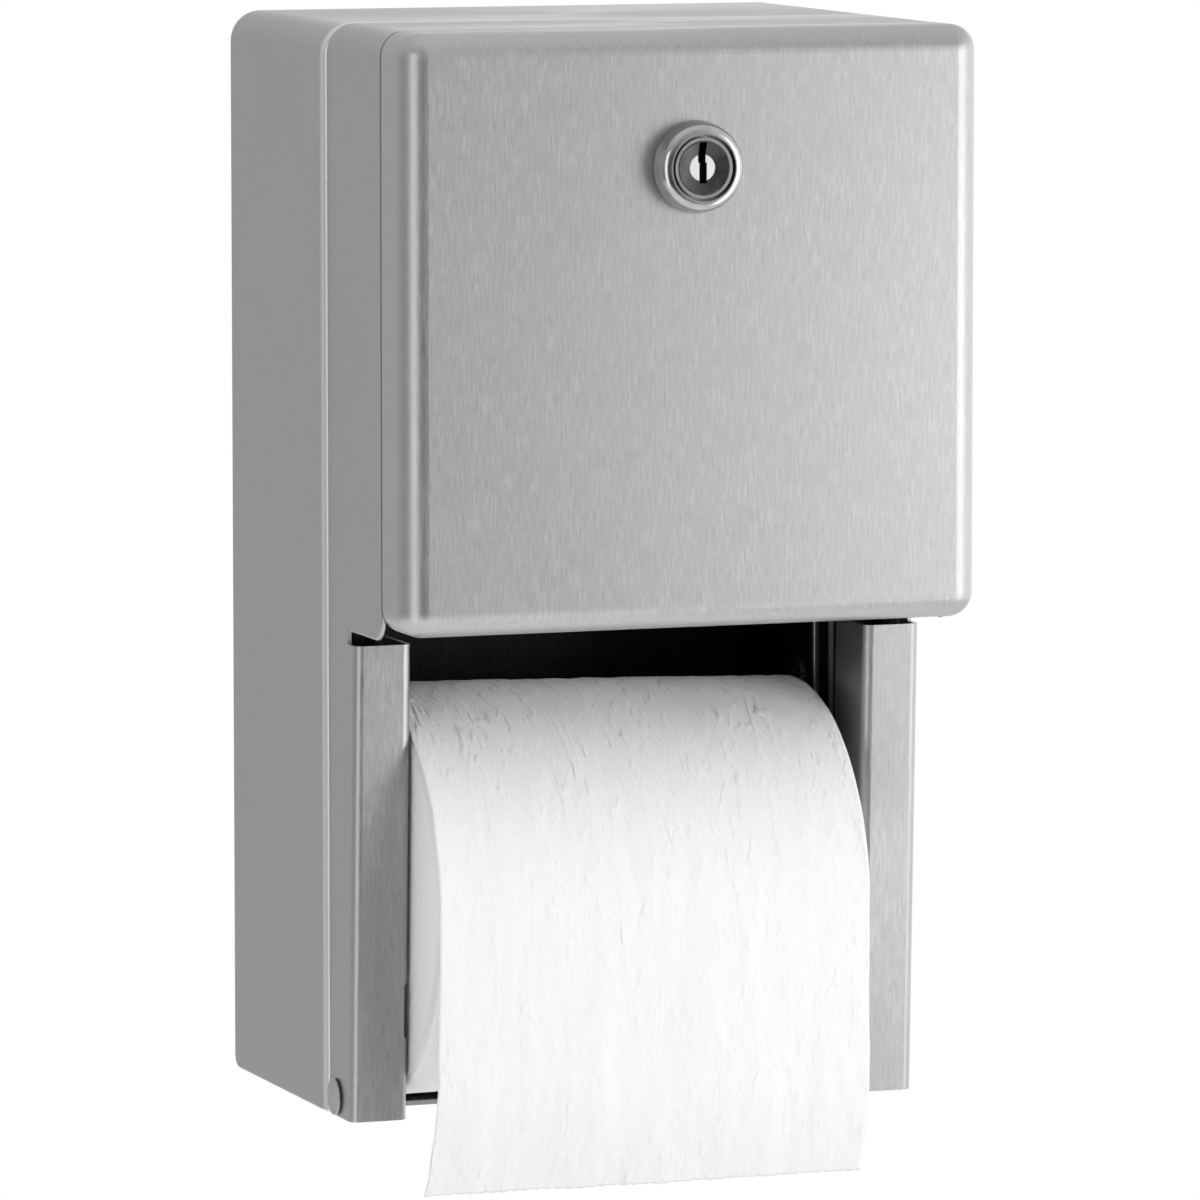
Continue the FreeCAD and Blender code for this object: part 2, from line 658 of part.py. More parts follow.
def hinge_rivets():
    """One rivet each side: the door swings on its shank."""
    body = placed_body("hinge_rivets", y="-pivot_depth", z=PIVOT_Z)
    head = "(%s + rivet_gap)" % DOOR_HALF
    inside = "(%s - sheet - washer_height)" % TONGUE_HALF
    tail = inside + " - rivet_tail_height"
    rivet = revolve(body, "rivet", "XY",
                    [(tail, "0"), (tail, "rivet_tail_radius"), (inside, "rivet_tail_radius"),
                     (inside, "pivot_radius"), (head, "pivot_radius"),
                     (head, "rivet_shoulder_radius"),
                     (head + " + rivet_shoulder_height", "rivet_shoulder_radius"),
                     (head + " + rivet_shoulder_height", "rivet_head_radius"),
                     (head + " + rivet_head_height", "rivet_head_radius", "rivet_head_round"),
                     (head + " + rivet_head_height", "0")], "X")
    mirror(body, [rivet])


def rings(label, base, outer, hole, start, length):
    """A washer or clip on each side of the middle plane."""
    body = placed_body(label, **base)
    ring = pad(body, label + "_ring", "YZ", [("0", "0", outer), ("0", "0", hole)], start, length)
    mirror(body, [ring])


def spindle(label, level):
    """One-piece moulded spindle: a drum with a trunnion at each end."""
    body = placed_body(label, y="-track_depth", z=level)
    end = "(%s - seat_gap)" % TRACK_BASE
    drum = "(core_radius - core_wall - seat_gap)"
    shoulder = "(drum_half_length + drum_slope)"
    half = [(end, "0"), (end, TRUNNION, "trunnion_edge"), (shoulder, TRUNNION), ("drum_half_length", drum)]
    other = [("-" + corner[0],) + corner[1:] for corner in reversed(half)]
    revolve(body, label + "_turned", "XY", half + other, "X")


def paper_pieces(prefix, level):
    """A cardboard core and the paper wound on it."""
    left, right = "(roll_shift - roll_width/2)", "(roll_shift + roll_width/2)"
    for label, inner, outer in ((prefix + "_core", "(core_radius - core_wall)", "core_radius"),
                                (prefix + "_paper", "core_radius", "roll_radius")):
        body = placed_body(label, y="-track_depth", z=level)
        revolve(body, label + "_ring", "XY", block(left, right, inner, outer), "X")


def paper_tail():
    """The loose end: it follows the roll's front, hangs down and curls back at its edge."""
    body = new_body("paper_tail")

    def line(radius):
        wrap_y = "(-track_depth - %s*cos(tail_wrap) + tail_start*sin(tail_wrap))" % radius
        wrap_z = "(%s + %s*sin(tail_wrap) + tail_start*cos(tail_wrap))" % (LOWER_Z, radius)
        hang = "(-track_depth - %s)" % radius
        return [(wrap_y, wrap_z), (hang, "(%s + %s*tan(tail_wrap/2))" % (LOWER_Z, radius), radius),
                (hang, BOTTOM + " + tail_bend_height"), (hang + " + tail_curl", BOTTOM + " - tail_drop")]

    near_roll = line("(roll_radius + tail_gap)")
    outside = line("(roll_radius + tail_gap + tail_thickness)")
    near_roll[2] += ("tail_bend_radius",)
    outside[2] += ("tail_bend_radius + tail_thickness",)
    pad(body, "tail", "YZ", [near_roll + outside[::-1]], "roll_shift - roll_width/2", "roll_width")


def drop_cam(label, side):
    """Rocker plate: its finger carries the reserve spindle, its nose feels for the lower one."""
    body = new_body(label)
    rear, front = "-(cam_pivot_depth - cam_half_width)", "-(cam_pivot_depth + cam_half_width)"
    tip, nose = "-(cam_pivot_depth + finger_reach)", "-(cam_pivot_depth + nose_reach)"
    above = CAM_Z + " + " + FINGER_RADIUS + " + cam_half_width"
    outline = [(rear, CAM_Z + " - nose_foot", "cam_corner"), (nose, CAM_Z + " - nose_foot", "cam_corner"),
               (nose, CAM_Z + " - nose_top", "cam_corner"), (front, CAM_Z + " - nose_root"),
               (front, CAM_Z + " + finger_root", "cam_corner"), (tip, CAM_Z + " + finger_foot", "cam_corner"),
               (tip, above), (rear, above)]
    start = CAM_INNER if side > 0 else "-" + CAM_OUTER
    pad(body, label + "_plate", "YZ", [outline], start, "cam_plate")
    pad(body, label + "_eye", "YZ", [("-cam_pivot_depth", CAM_Z, "cam_eye_radius")], start, "cam_plate")
    seat = FINGER_RADIUS
    pocket(body, label + "_seat", "YZ",
           [("-cam_pivot_depth", CAM_Z, seat), ("-cam_pivot_depth", CAM_Z, "%s + finger_reach" % seat)],
           start + " - cut_overrun", "cam_plate + 2*cut_overrun")
    pocket(body, label + "_bore", "YZ", [("-cam_pivot_depth", CAM_Z, "cam_pin_radius + running_gap")],
           start + " - cut_overrun", "cam_plate + 2*cut_overrun")


def cam_pivot_pins():
    """A headed pin in each guide plate that its drop cam rocks on."""
    body = placed_body("cam_pivot_pins", y="-cam_pivot_depth", z=CAM_Z)
    head = "(guide_face - cam_pin_head_height)"
    end = "(%s + clip_gap + clip_height + cam_pin_end)" % CAM_OUTER
    pin = revolve(body, "cam_pin", "XY",
                  [(head, "0"), (head, "cam_pin_head_radius"), ("guide_face", "cam_pin_head_radius"),
                   ("guide_face", "cam_pin_radius"), (end, "cam_pin_radius"), (end, "0")], "X")
    mirror(body, [pin])


def cam_springs():
    """A leaf spring behind each cam's lower arm, on the guide plate's rear flange."""
    body = new_body("cam_springs")
    seat, skin = "-2*sheet", "-(2*sheet + spring_strip)"
    tip = "-(cam_pivot_depth - cam_half_width - seat_gap)"
    high = CAM_Z + " - spring_tip"
    bend = "(%s - spring_tip - spring_rise)" % CAM_Z
    blade = pad(body, "leaf", "YZ",
                [[(seat, bend + " - spring_foot"),
                  (seat, bend + " + spring_strip", "spring_bend + spring_strip"),
                  (tip, high + " + spring_strip"), (tip, high), (skin, bend, "spring_bend"),
                  (skin, bend + " - spring_foot")]],
                CAM_INNER, "spring_width")
    mirror(body, [blade])


def lock_pieces():
    """Escutcheon, barrel, washer and nut on the panel, in the order they go on."""
    face = "-(panel_depth + lock_face)"
    base, counter = "-panel_depth", "-(panel_depth + collar_height + collar_gap)"
    bore = "(barrel_radius + lock_groove)"
    body = placed_body("lock_escutcheon", z=LOCK_Z)
    revolve(body, "dome", "XY",
            [("(collar_radius + collar_gap)", base), ("lock_base_radius", base),
             ("lock_base_radius", "-(panel_depth + lock_rim)"), ("lock_shoulder_radius", face, "lock_round"),
             (bore, face), (bore, counter), ("(collar_radius + collar_gap)", counter)], "Y")

    body = placed_body("lock_housing", z=LOCK_Z)
    inner = "(plug_radius + running_gap)"
    front, rear = face + " + barrel_set_back", "-" + BARREL_END
    collar = "-(panel_depth + collar_height)"
    revolve(body, "barrel", "XY",
            [(inner, front), ("barrel_radius", front), ("barrel_radius", collar), ("collar_radius", collar),
             ("collar_radius", base), ("barrel_radius", base), ("barrel_radius", rear), (inner, rear)], "Y")

    body = placed_body("lock_washer", z=LOCK_Z)
    pad(body, "washer", "XZ", [("0", "0", "lock_washer_radius"), ("0", "0", "barrel_radius + running_gap")],
        "panel_depth - sheet - lock_washer_height", "lock_washer_height")

    body = placed_body("lock_nut", z=LOCK_Z)
    across = "nut_flats/sqrt(3)"
    hexagon = [("%s*cos(%d)" % (across, turn), "%s*sin(%d)" % (across, turn)) for turn in range(0, 360, 60)]
    pad(body, "nut", "XZ", [hexagon, ("0", "0", "barrel_radius + running_gap")],
        "panel_depth - sheet - lock_washer_height - nut_height", "nut_height")


def lock_plug():
    """Keyed plug with a dished face, a vertical key slot and a square tail for the bolt."""
    body = placed_body("lock_plug", z=LOCK_Z)
    face = "-(panel_depth + lock_face - plug_set_back)"
    dish = face + " + dish_depth"
    revolve(body, "plug", "XY",
            [("0", dish), ("dish_radius", dish), ("(plug_radius - plug_rim)", face), ("plug_radius", face),
             ("plug_radius", "-" + BARREL_END), ("0", "-" + BARREL_END)], "Y")
    half = "(tail_square/2)"
    pad(body, "square_tail", "XZ", [block("-" + half, half, "-" + half, half)],
        BOLT_REAR + " + bolt_gap/2", "%s - %s - bolt_gap/2" % (BARREL_END, BOLT_REAR))
    pocket(body, "screw_bore", "XZ", [("0", "0", "lock_screw_radius + running_gap")],
           BOLT_REAR + " - cut_overrun", "lock_screw_length + 2*cut_overrun")
    low, high = "(key_rise - key_length/2)", "(key_rise + key_length/2)"
    wide, narrow = "(key_width/2 + key_jog/2)", "(key_width/2 - key_jog/2)"
    keyway = [("-" + wide, high), ("-" + wide, "key_rise"), ("-" + narrow, "key_rise"), ("-" + narrow, low),
              (wide, low), (wide, "key_rise"), (narrow, "key_rise"), (narrow, high)]
    pocket(body, "key_slot", "XZ", [keyway], "panel_depth + lock_face - key_depth", "key_depth + cut_overrun")


def lock_cam():
    """Flat bolt on the plug's tail: it points sideways unlocked and upwards locked."""
    body = placed_body("lock_cam", z=LOCK_Z)
    half = "(bolt_width/2)"
    pad(body, "bolt_arm", "XZ",
        [[("0", "-" + half), ("bolt_length", "-" + half, "bolt_corner"), ("bolt_length", half, "bolt_corner"),
          ("0", half)]], BOLT_REAR, "bolt_sheet")
    pad(body, "bolt_hub", "XZ", [("0", "0", "bolt_hub_radius")], BOLT_REAR, "bolt_sheet")
    eye = "(tail_square/2 + running_gap)"
    pocket(body, "bolt_eye", "XZ", [block("-" + eye, eye, "-" + eye, eye)],
           BOLT_REAR + " - cut_overrun", "bolt_sheet + 2*cut_overrun")


def lock_screw():
    """Screw that holds the bolt on the plug's tail."""
    body = placed_body("lock_screw", z=LOCK_Z)
    seat = "-" + BOLT_REAR
    end = seat + " - lock_screw_length"
    head = seat + " + lock_screw_head_height"
    revolve(body, "screw", "XY",
            [("0", end), ("lock_screw_radius", end), ("lock_screw_radius", seat),
             ("lock_screw_head_radius", seat),
             ("lock_screw_head_radius", head, "lock_screw_round"), ("0", head)], "Y")


cabinet_shell()
back_plate()
floor_plate()
guide("guide_left", -1)
guide("guide_right", 1)
strike_bracket()
door_frame()
door_panel()
hinge_rivets()
rings("hinge_washers", {"y": "-pivot_depth", "z": PIVOT_Z}, "washer_radius", "pivot_radius",
      "(%s - sheet - washer_height)" % TONGUE_HALF, "washer_height")
spindle("lower_spindle", LOWER_Z)
spindle("reserve_spindle", RESERVE_Z)
paper_pieces("lower", LOWER_Z)
paper_pieces("reserve", RESERVE_Z)
paper_tail()
drop_cam("drop_cam_left", -1)
drop_cam("drop_cam_right", 1)
cam_pivot_pins()
rings("cam_clips", {"y": "-cam_pivot_depth", "z": CAM_Z}, "clip_radius", "cam_pin_radius",
      "(%s + clip_gap)" % CAM_OUTER, "clip_height")
cam_springs()
lock_pieces()
lock_plug()
lock_cam()
lock_screw()

doc.recompute()
for part in doc.Objects:
    if "Invalid" in part.State or "Error" in part.State:
        raise RuntimeError("%s did not build" % part.Name)
for body in pieces:
    if body.Shape.isNull() or not body.Shape.isValid() or not body.Shape.Solids:
        raise RuntimeError("%s has no valid solid" % body.Label)
os.makedirs("parts", exist_ok=True)
for body in pieces:
    body.Shape.exportStep("parts/%s.step" % body.Label)
    print("%s: %d solids, %.1f mm3" % (body.Label, len(body.Shape.Solids), body.Shape.Volume))
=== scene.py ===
"""Two-roll toilet paper dispenser: finishes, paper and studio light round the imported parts.

Metres, +Z up, the front faces -Y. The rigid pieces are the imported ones, each with a finish of its
own. The two rolls, the hanging paper and the weld marks on the back are made here.
"""
import math

import bpy
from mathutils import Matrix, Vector


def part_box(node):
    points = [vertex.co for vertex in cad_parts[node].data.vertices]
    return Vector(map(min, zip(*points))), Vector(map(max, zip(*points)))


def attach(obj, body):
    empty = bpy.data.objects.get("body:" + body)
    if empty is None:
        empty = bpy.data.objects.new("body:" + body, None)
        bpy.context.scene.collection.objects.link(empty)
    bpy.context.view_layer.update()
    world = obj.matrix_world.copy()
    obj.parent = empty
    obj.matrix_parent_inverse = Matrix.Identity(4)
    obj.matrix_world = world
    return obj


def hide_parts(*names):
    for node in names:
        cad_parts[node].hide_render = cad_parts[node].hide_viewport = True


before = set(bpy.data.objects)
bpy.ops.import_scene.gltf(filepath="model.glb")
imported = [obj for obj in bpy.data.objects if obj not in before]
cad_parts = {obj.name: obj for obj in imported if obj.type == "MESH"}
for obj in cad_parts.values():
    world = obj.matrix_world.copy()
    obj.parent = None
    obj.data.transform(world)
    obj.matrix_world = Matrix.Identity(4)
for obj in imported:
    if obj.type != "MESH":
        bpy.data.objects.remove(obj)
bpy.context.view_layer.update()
MM = 0.001
FULL_TURN = 2 * math.pi
WHITE = (1, 1, 1, 1)


def grey(level, warmth=0.0):
    """A neutral colour; warmth tips it towards yellow, below zero towards blue."""
    return (level * (1 + warmth), level, level * (1 - 1.4 * warmth), 1)


def box_middle(node):
    """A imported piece's middle, and half its size each way."""
    low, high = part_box(node)
    return (low + high) / 2, (high - low) / 2


lower_middle, lower_half = box_middle("lower_paper")
reserve_middle = box_middle("reserve_paper")[0]


# Nodes

def set_inputs(tree, node, **inputs):
    """Join each input to the socket that it is given, or set it to any other value.

    An input is called by its name or, after an underscore, by its number.
    """
    for name, value in inputs.items():
        place = int(name[1:]) if name[1:].isdigit() else name.replace("_", " ")
        if isinstance(value, bpy.types.NodeSocket):
            tree.links.new(value, node.inputs[place])
        else:
            node.inputs[place].default_value = value


def add(tree, kind, settings=None, **inputs):
    """A new node with its settings and inputs."""
    made = tree.nodes.new(kind)
    for name, value in (settings or {}).items():
        setattr(made, name, value)
    set_inputs(tree, made, **inputs)
    return made


def math_node(tree, operation, *values, clamp=False):
    """The result of an operation on sockets or numbers."""
    inputs = {"_%d" % index: value for index, value in enumerate(values)}
    return add(tree, "ShaderNodeMath", {"operation": operation, "use_clamp": clamp}, **inputs).outputs[0]


def plus(tree, first, second):
    return math_node(tree, "ADD", first, second)


def minus(tree, first, second):
    return math_node(tree, "SUBTRACT", first, second)


def times(tree, first, second):
    return math_node(tree, "MULTIPLY", first, second)


def times_plus(tree, first, second, third):
    return math_node(tree, "MULTIPLY_ADD", first, second, third)


def in_shares(tree, first, first_share, second, second_share):
    """Two values added in the given shares."""
    return times_plus(tree, first, first_share, times(tree, second, second_share))


def absolute(tree, value):
    return math_node(tree, "ABSOLUTE", value)


def scaled(tree, vector, factors):
    return add(tree, "ShaderNodeVectorMath", {"operation": "MULTIPLY"}, _0=vector, _1=factors).outputs[0]


def moved(tree, vector, step):
    return add(tree, "ShaderNodeVectorMath", {"operation": "ADD"}, _0=vector, _1=step).outputs[0]


def combine(tree, x=0.0, y=0.0, z=0.0):
    return add(tree, "ShaderNodeCombineXYZ", X=x, Y=y, Z=z).outputs[0]


def split(tree, vector):
    """The X, Y and Z of a vector, by their names."""
    return add(tree, "ShaderNodeSeparateXYZ", Vector=vector).outputs


def spread(tree, value, low, high, to_low=0.0, to_high=1.0):
    """A value moved from one range to another, kept within its ends."""
    return add(tree, "ShaderNodeMapRange", _0=value, _1=low, _2=high, _3=to_low, _4=to_high).outputs[0]


def within(tree, value, begin, full, fade, end):
    """One from full to fade, and nothing before begin and after end."""
    rising = spread(tree, value, begin, full)
    return times(tree, rising, spread(tree, value, fade, end, 1.0, 0.0))


def between(tree, factor, low, high):
    return add(tree, "ShaderNodeMix", _0=factor, _2=low, _3=high).outputs[0]


def vector_between(tree, factor, low, high):
    return add(tree, "ShaderNodeMix", {"data_type": "VECTOR"}, _0=factor, _4=low, _5=high).outputs[1]


def colour_between(tree, factor, low, high):
    return add(tree, "ShaderNodeMix", {"data_type": "RGBA"}, _0=factor, _6=low, _7=high).outputs[2]


def noise(tree, vector, scale=1.0, detail=2.0, roughness=0.5):
    output = "Fac" if tree.type == "SHADER" else 0
    return add(tree, "ShaderNodeTexNoise", Vector=vector, Scale=scale, Detail=detail,
               Roughness=roughness).outputs[output]


def stretched_noise(tree, vector, per_metre, detail=1.0, roughness=0.5):
    """Noise with a scale of its own in each direction."""
    return noise(tree, scaled(tree, vector, per_metre), 1.0, detail, roughness)


def bump(tree, height, distance):
    return add(tree, "ShaderNodeBump", Height=height, Distance=distance, Strength=1.0).outputs[0]


def new_group(kind, name, inputs, outputs):
    """An empty node group with named sockets: the tree, its inputs and its output node."""
    tree = bpy.data.node_groups.new(name, kind)
    for label, form, value in inputs:
        socket = tree.interface.new_socket(label, in_out="INPUT", socket_type="NodeSocket" + form)
        if value is not None:
            socket.default_value = value
    for label, form in outputs:
        tree.interface.new_socket(label, in_out="OUTPUT", socket_type="NodeSocket" + form)
    return tree, tree.nodes.new("NodeGroupInput").outputs, tree.nodes.new("NodeGroupOutput")


def place_group(tree, group, **inputs):
    kind = "ShaderNodeGroup" if tree.type == "SHADER" else "GeometryNodeGroup"
    return add(tree, kind, {"node_tree": group}, **inputs).outputs


# Effects that several finishes share

def grain_group():
    """Brushed grain: upright on standing faces, along X or Y on lying ones, strongest in front."""
    tree, given, out = new_group(
        "ShaderNodeTree", "brushed_grain",
        [("Place", "Vector", None), ("Facing", "Vector", None), ("Lie Along Y", "Float", 0.0),
         ("Lines", "Float", 1500.0), ("Run", "Float", 60.0)],
        [("Tone", "Float"), ("Height", "Float")])
    lying_limit, broad_scale = 0.72, (300, 300, 95)
    side_strength, most_strength, drift_share = 0.3, 2.6, 0.5
    place = split(tree, given["Place"])
    facing = split(tree, given["Facing"])
    lying = math_node(tree, "GREATER_THAN", absolute(tree, facing["Z"]), lying_limit)
    along_x = combine(tree, place["Y"], place["Z"], place["X"])
    along_y = combine(tree, place["X"], place["Z"], place["Y"])
    flat = vector_between(tree, given["Lie Along Y"], along_x, along_y)
    line = vector_between(tree, lying, given["Place"], flat)
    fine_scale = combine(tree, given["Lines"], given["Lines"], given["Run"])
    fine = stretched_noise(tree, line, fine_scale, detail=2.0, roughness=0.6)
    broad = stretched_noise(tree, line, broad_scale, detail=2.0)
    front = spread(tree, absolute(tree, facing["Y"]), 0.7, 1.0, side_strength, 1.0)
    strength = times(tree, front, spread(tree, broad, 0.35, 0.65, 1.0, most_strength))
    streak = times(tree, minus(tree, fine, 0.5), strength)
    drift = times(tree, minus(tree, broad, 0.5), times(tree, front, drift_share))
    tone = math_node(tree, "ADD", plus(tree, streak, drift), 0.5, clamp=True)
    set_inputs(tree, out, Tone=tone, Height=times(tree, fine, front))
    return tree


def patches_group():
    """Soft irregular patches, as left by handling, and fine specks within them."""
    tree, given, out = new_group(
        "ShaderNodeTree", "patches_and_specks",
        [("Place", "Vector", None), ("Patch Scale", "Float", 25.0), ("Speck Scale", "Float", 2500.0)],
        [("Patches", "Float"), ("Specks", "Float")])
    broad = noise(tree, given["Place"], given["Patch Scale"], 3.0, 0.55)
    fine = noise(tree, given["Place"], given["Speck Scale"], 2.0, 0.6)
    set_inputs(tree, out, Patches=spread(tree, broad, 0.35, 0.65), Specks=spread(tree, fine, 0.3, 0.7))
    return tree


GRAIN = grain_group()
PATCHES = patches_group()


# Finishes

def new_material(name):
    """A material with an empty Principled shader: its tree, shader and texture coordinates."""
    material = bpy.data.materials.new(name)
    material.use_nodes = True
    tree = material.node_tree
    tree.nodes.clear()
    shader = tree.nodes.new("ShaderNodeBsdfPrincipled")
    add(tree, "ShaderNodeOutputMaterial", Surface=shader.outputs[0])
    return material, tree, shader, tree.nodes.new("ShaderNodeTexCoord").outputs


def brushed_metal(name, dark, light, smooth, rough, lines, run, depth, along_y=0.0, anisotropy=0.5,
                  behind=None, painted_bands=()):
    """Metal with a directional grain that tints it, roughens it and catches the light.

    Faces that are turned to the wall take the pair of colours in behind. Each band is a painted highlight
    or a line of painted shade across the depth: where it begins, is full, begins to fade and ends, its
    colour and, where it is a short one, the same four distances to either side of the middle.
    """
    material, tree, shader, coordinates = new_material(name)
    grain = place_group(tree, GRAIN, Place=coordinates["Object"], Facing=coordinates["Normal"],
                        Lie_Along_Y=along_y, Lines=lines, Run=run)
    marks = place_group(tree, PATCHES, Place=coordinates["Object"], Patch_Scale=22.0)
    colour = colour_between(tree, grain["Tone"], dark, light)
    if behind:
        turned = spread(tree, split(tree, coordinates["Normal"])["Y"], 0.5, 0.9)
        colour = colour_between(tree, turned, colour, colour_between(tree, grain["Tone"], *behind))
    place = split(tree, coordinates["Object"]) if painted_bands else None
    for across_depth, tint, *across_width in painted_bands:
        covered = within(tree, place["Y"], *across_depth)
        for distances in across_width:
            covered = times(tree, covered, within(tree, absolute(tree, place["X"]), *distances))
        colour = colour_between(tree, covered, colour, tint)
    worn = in_shares(tree, marks["Patches"], 0.35, grain["Tone"], 0.65)
    set_inputs(tree, shader, Base_Color=colour, Metallic=1.0, Anisotropic=anisotropy,
               Roughness=spread(tree, worn, 0.0, 1.0, smooth, rough),
               Normal=bump(tree, grain["Height"], depth))
    return material


def smooth_metal(name, dark, light, smooth, rough, depth):
    """Polished or turned metal, with faint haze and fine scratches."""
    material, tree, shader, coordinates = new_material(name)
    marks = place_group(tree, PATCHES, Place=coordinates["Object"], Patch_Scale=160.0, Speck_Scale=3200.0)
    set_inputs(tree, shader, Base_Color=colour_between(tree, marks["Patches"], dark, light), Metallic=1.0,
               Roughness=spread(tree, marks["Patches"], 0.0, 1.0, smooth, rough),
               Normal=bump(tree, marks["Specks"], depth))
    return material


def keyed_plug():
    """Dark turned face with a bright disc at its middle, a painted highlight."""
    material, tree, shader, coordinates = new_material("lock_plug_nickel")
    disc_radius, disc_edge, disc_depth = 3.25 * MM, 3.45 * MM, 1.5 * MM
    rings_per_metre = 9000.0
    middle = box_middle("lock_plug")[0]
    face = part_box("lock_plug")[0].y
    centred = add(tree, "ShaderNodeMapping", {"vector_type": "POINT"}, Vector=coordinates["Object"],
                  Location=(-middle.x, 0, -middle.z)).outputs[0]
    flat = scaled(tree, centred, (1, 0, 1))
    radius = add(tree, "ShaderNodeVectorMath", {"operation": "LENGTH"}, _0=flat).outputs["Value"]
    place = split(tree, coordinates["Object"])
    shallow = math_node(tree, "LESS_THAN", place["Y"], face + disc_depth)
    painted_highlight_disc = times(tree, spread(tree, radius, disc_radius, disc_edge, 1.0, 0.0), shallow)
    turned = noise(tree, combine(tree, times(tree, radius, rings_per_metre)), detail=1.0)
    marks = place_group(tree, PATCHES, Place=coordinates["Object"], Patch_Scale=420.0)
    worn = in_shares(tree, turned, 0.4, marks["Patches"], 0.6)
    dark = colour_between(tree, worn, grey(0.055), grey(0.10))
    # The disc's pale colour is a painted highlight
    set_inputs(tree, shader, Base_Color=colour_between(tree, painted_highlight_disc, dark, grey(0.82)), Metallic=1.0,
               Roughness=spread(tree, worn, 0.0, 1.0, 0.3, 0.42), Normal=bump(tree, turned, 0.003 * MM))
    return material


def moulded_plastic():
    """Black moulded plastic with a fine matt skin."""
    material, tree, shader, coordinates = new_material("spindle_plastic")
    marks = place_group(tree, PATCHES, Place=coordinates["Object"], Patch_Scale=60.0, Speck_Scale=1800.0)
    colour = colour_between(tree, marks["Patches"], grey(0.035), grey(0.055))
    set_inputs(tree, shader, Base_Color=colour, Roughness=spread(tree, marks["Specks"], 0.0, 1.0, 0.42, 0.6),
               Normal=bump(tree, marks["Specks"], 0.04 * MM))
    return material


def wound_card(name, axis):
    """Grey-brown card in a spiral: fibres, specks and the darker seam of its wound strip."""
    material, tree, shader, coordinates = new_material(name)
    strip_width, seam_share = 62 * MM, 0.02
    centred = add(tree, "ShaderNodeMapping", {"vector_type": "POINT"}, Vector=coordinates["Object"],
                  Location=(0, -axis.y, -axis.z)).outputs[0]
    place = split(tree, centred)
    turn = math_node(tree, "DIVIDE", math_node(tree, "ARCTAN2", place["Z"], place["Y"]), FULL_TURN)
    strip = math_node(tree, "FRACT", times_plus(tree, place["X"], 1 / strip_width, turn))
    seam = spread(tree, math_node(tree, "PINGPONG", strip, 0.5), 0.0, seam_share, 1.0, 0.0)
    fibres = stretched_noise(tree, centred, (240, 900, 900), detail=3.0, roughness=0.6)
    marks = place_group(tree, PATCHES, Place=coordinates["Object"], Patch_Scale=90.0, Speck_Scale=2200.0)
    tone = in_shares(tree, fibres, 0.6, marks["Specks"], 0.4)
    card = colour_between(tree, tone, (0.26, 0.19, 0.125, 1), (0.50, 0.40, 0.29, 1))
    set_inputs(tree, shader, Base_Color=colour_between(tree, seam, card, (0.17, 0.12, 0.08, 1)),
               Roughness=0.85, Normal=bump(tree, minus(tree, tone, seam), 0.06 * MM))
    return material


def tissue_paper():
    """White two-ply tissue: creping, soft wrinkles along the sheet and embossed dots in drifts.

    The sheet's own place is its distance across, its distance along and, on a roll's ends, the radius.
    """
    material, tree, shader, _ = new_material("tissue")
    sway_scale, patch_scale, ridge_scale = (120, 70, 0), (60, 38, 0), (400, 160, 0)
    crepe_scale, fold_scale, layer_scale = (900, 420, 0), (85, 11, 0), 2600.0
    sway, column_pitch, row_pitch = 4 * MM, 0.95 * MM, 0.8 * MM
    ridge_share, crepe_share, fold_share, dot_share, layer_share = 0.36, 0.10, 0.12, 0.03, 0.12
    sheet = add(tree, "ShaderNodeAttribute", {"attribute_name": "sheet_place"}).outputs["Vector"]
    place = split(tree, sheet)
    bent = stretched_noise(tree, sheet, sway_scale, detail=2.0)
    swayed = moved(tree, sheet, combine(tree, times(tree, bent, sway)))
    patchy = spread(tree, stretched_noise(tree, sheet, patch_scale, detail=2.0), 0.35, 0.65)
    ridge = spread(tree, stretched_noise(tree, swayed, ridge_scale), 0.54, 0.84)
    ridge = times(tree, ridge, times_plus(tree, patchy, 0.8, 0.2))
    crepe = stretched_noise(tree, swayed, crepe_scale)
    fold = minus(tree, stretched_noise(tree, swayed, fold_scale), 0.56)
    fold = spread(tree, absolute(tree, fold), 0.0, 0.03, 1.0, 0.0)
    column = math_node(tree, "SINE", times(tree, place["X"], FULL_TURN / column_pitch))
    row = math_node(tree, "SINE", times(tree, place["Y"], FULL_TURN / row_pitch))
    dots = spread(tree, times(tree, column, row), -0.2, 0.9)
    dots = times(tree, dots, times_plus(tree, patchy, -0.7, 1.0))
    layers = noise(tree, combine(tree, z=times(tree, place["Z"], layer_scale)), detail=1.0)
    on_end = math_node(tree, "GREATER_THAN", place["Z"], MM)
    face = in_shares(tree, ridge, ridge_share, crepe, crepe_share)
    face = times_plus(tree, times(tree, fold, patchy), fold_share, face)
    face = times_plus(tree, dots, dot_share, face)
    slack = spread(tree, place["Y"], 25 * MM, 80 * MM, 3.0, 1.0)
    height = between(tree, on_end, times(tree, face, slack), times(tree, layers, layer_share))
    # Painted shade: the roll's ends darken between the wound layers, and the embossed dots a little more
    shade = times_plus(tree, minus(tree, layers, 1.0), times(tree, on_end, 0.45), 1.0)
    shade = times(tree, shade, spread(tree, dots, 0.0, 1.0, 0.96, 1.0))
    colour = colour_between(tree, spread(tree, shade, 0.2, 0.95), grey(0.70, 0.003), grey(0.95, 0.004))
    set_inputs(tree, shader, Base_Color=colour, Roughness=0.95, Specular_IOR_Level=0.2,
               Normal=bump(tree, height, MM))
    return material


def places_from(start, *steps):
    """Places at the given steps, in millimetres, from a start."""
    return tuple(start + step * MM for step in steps)


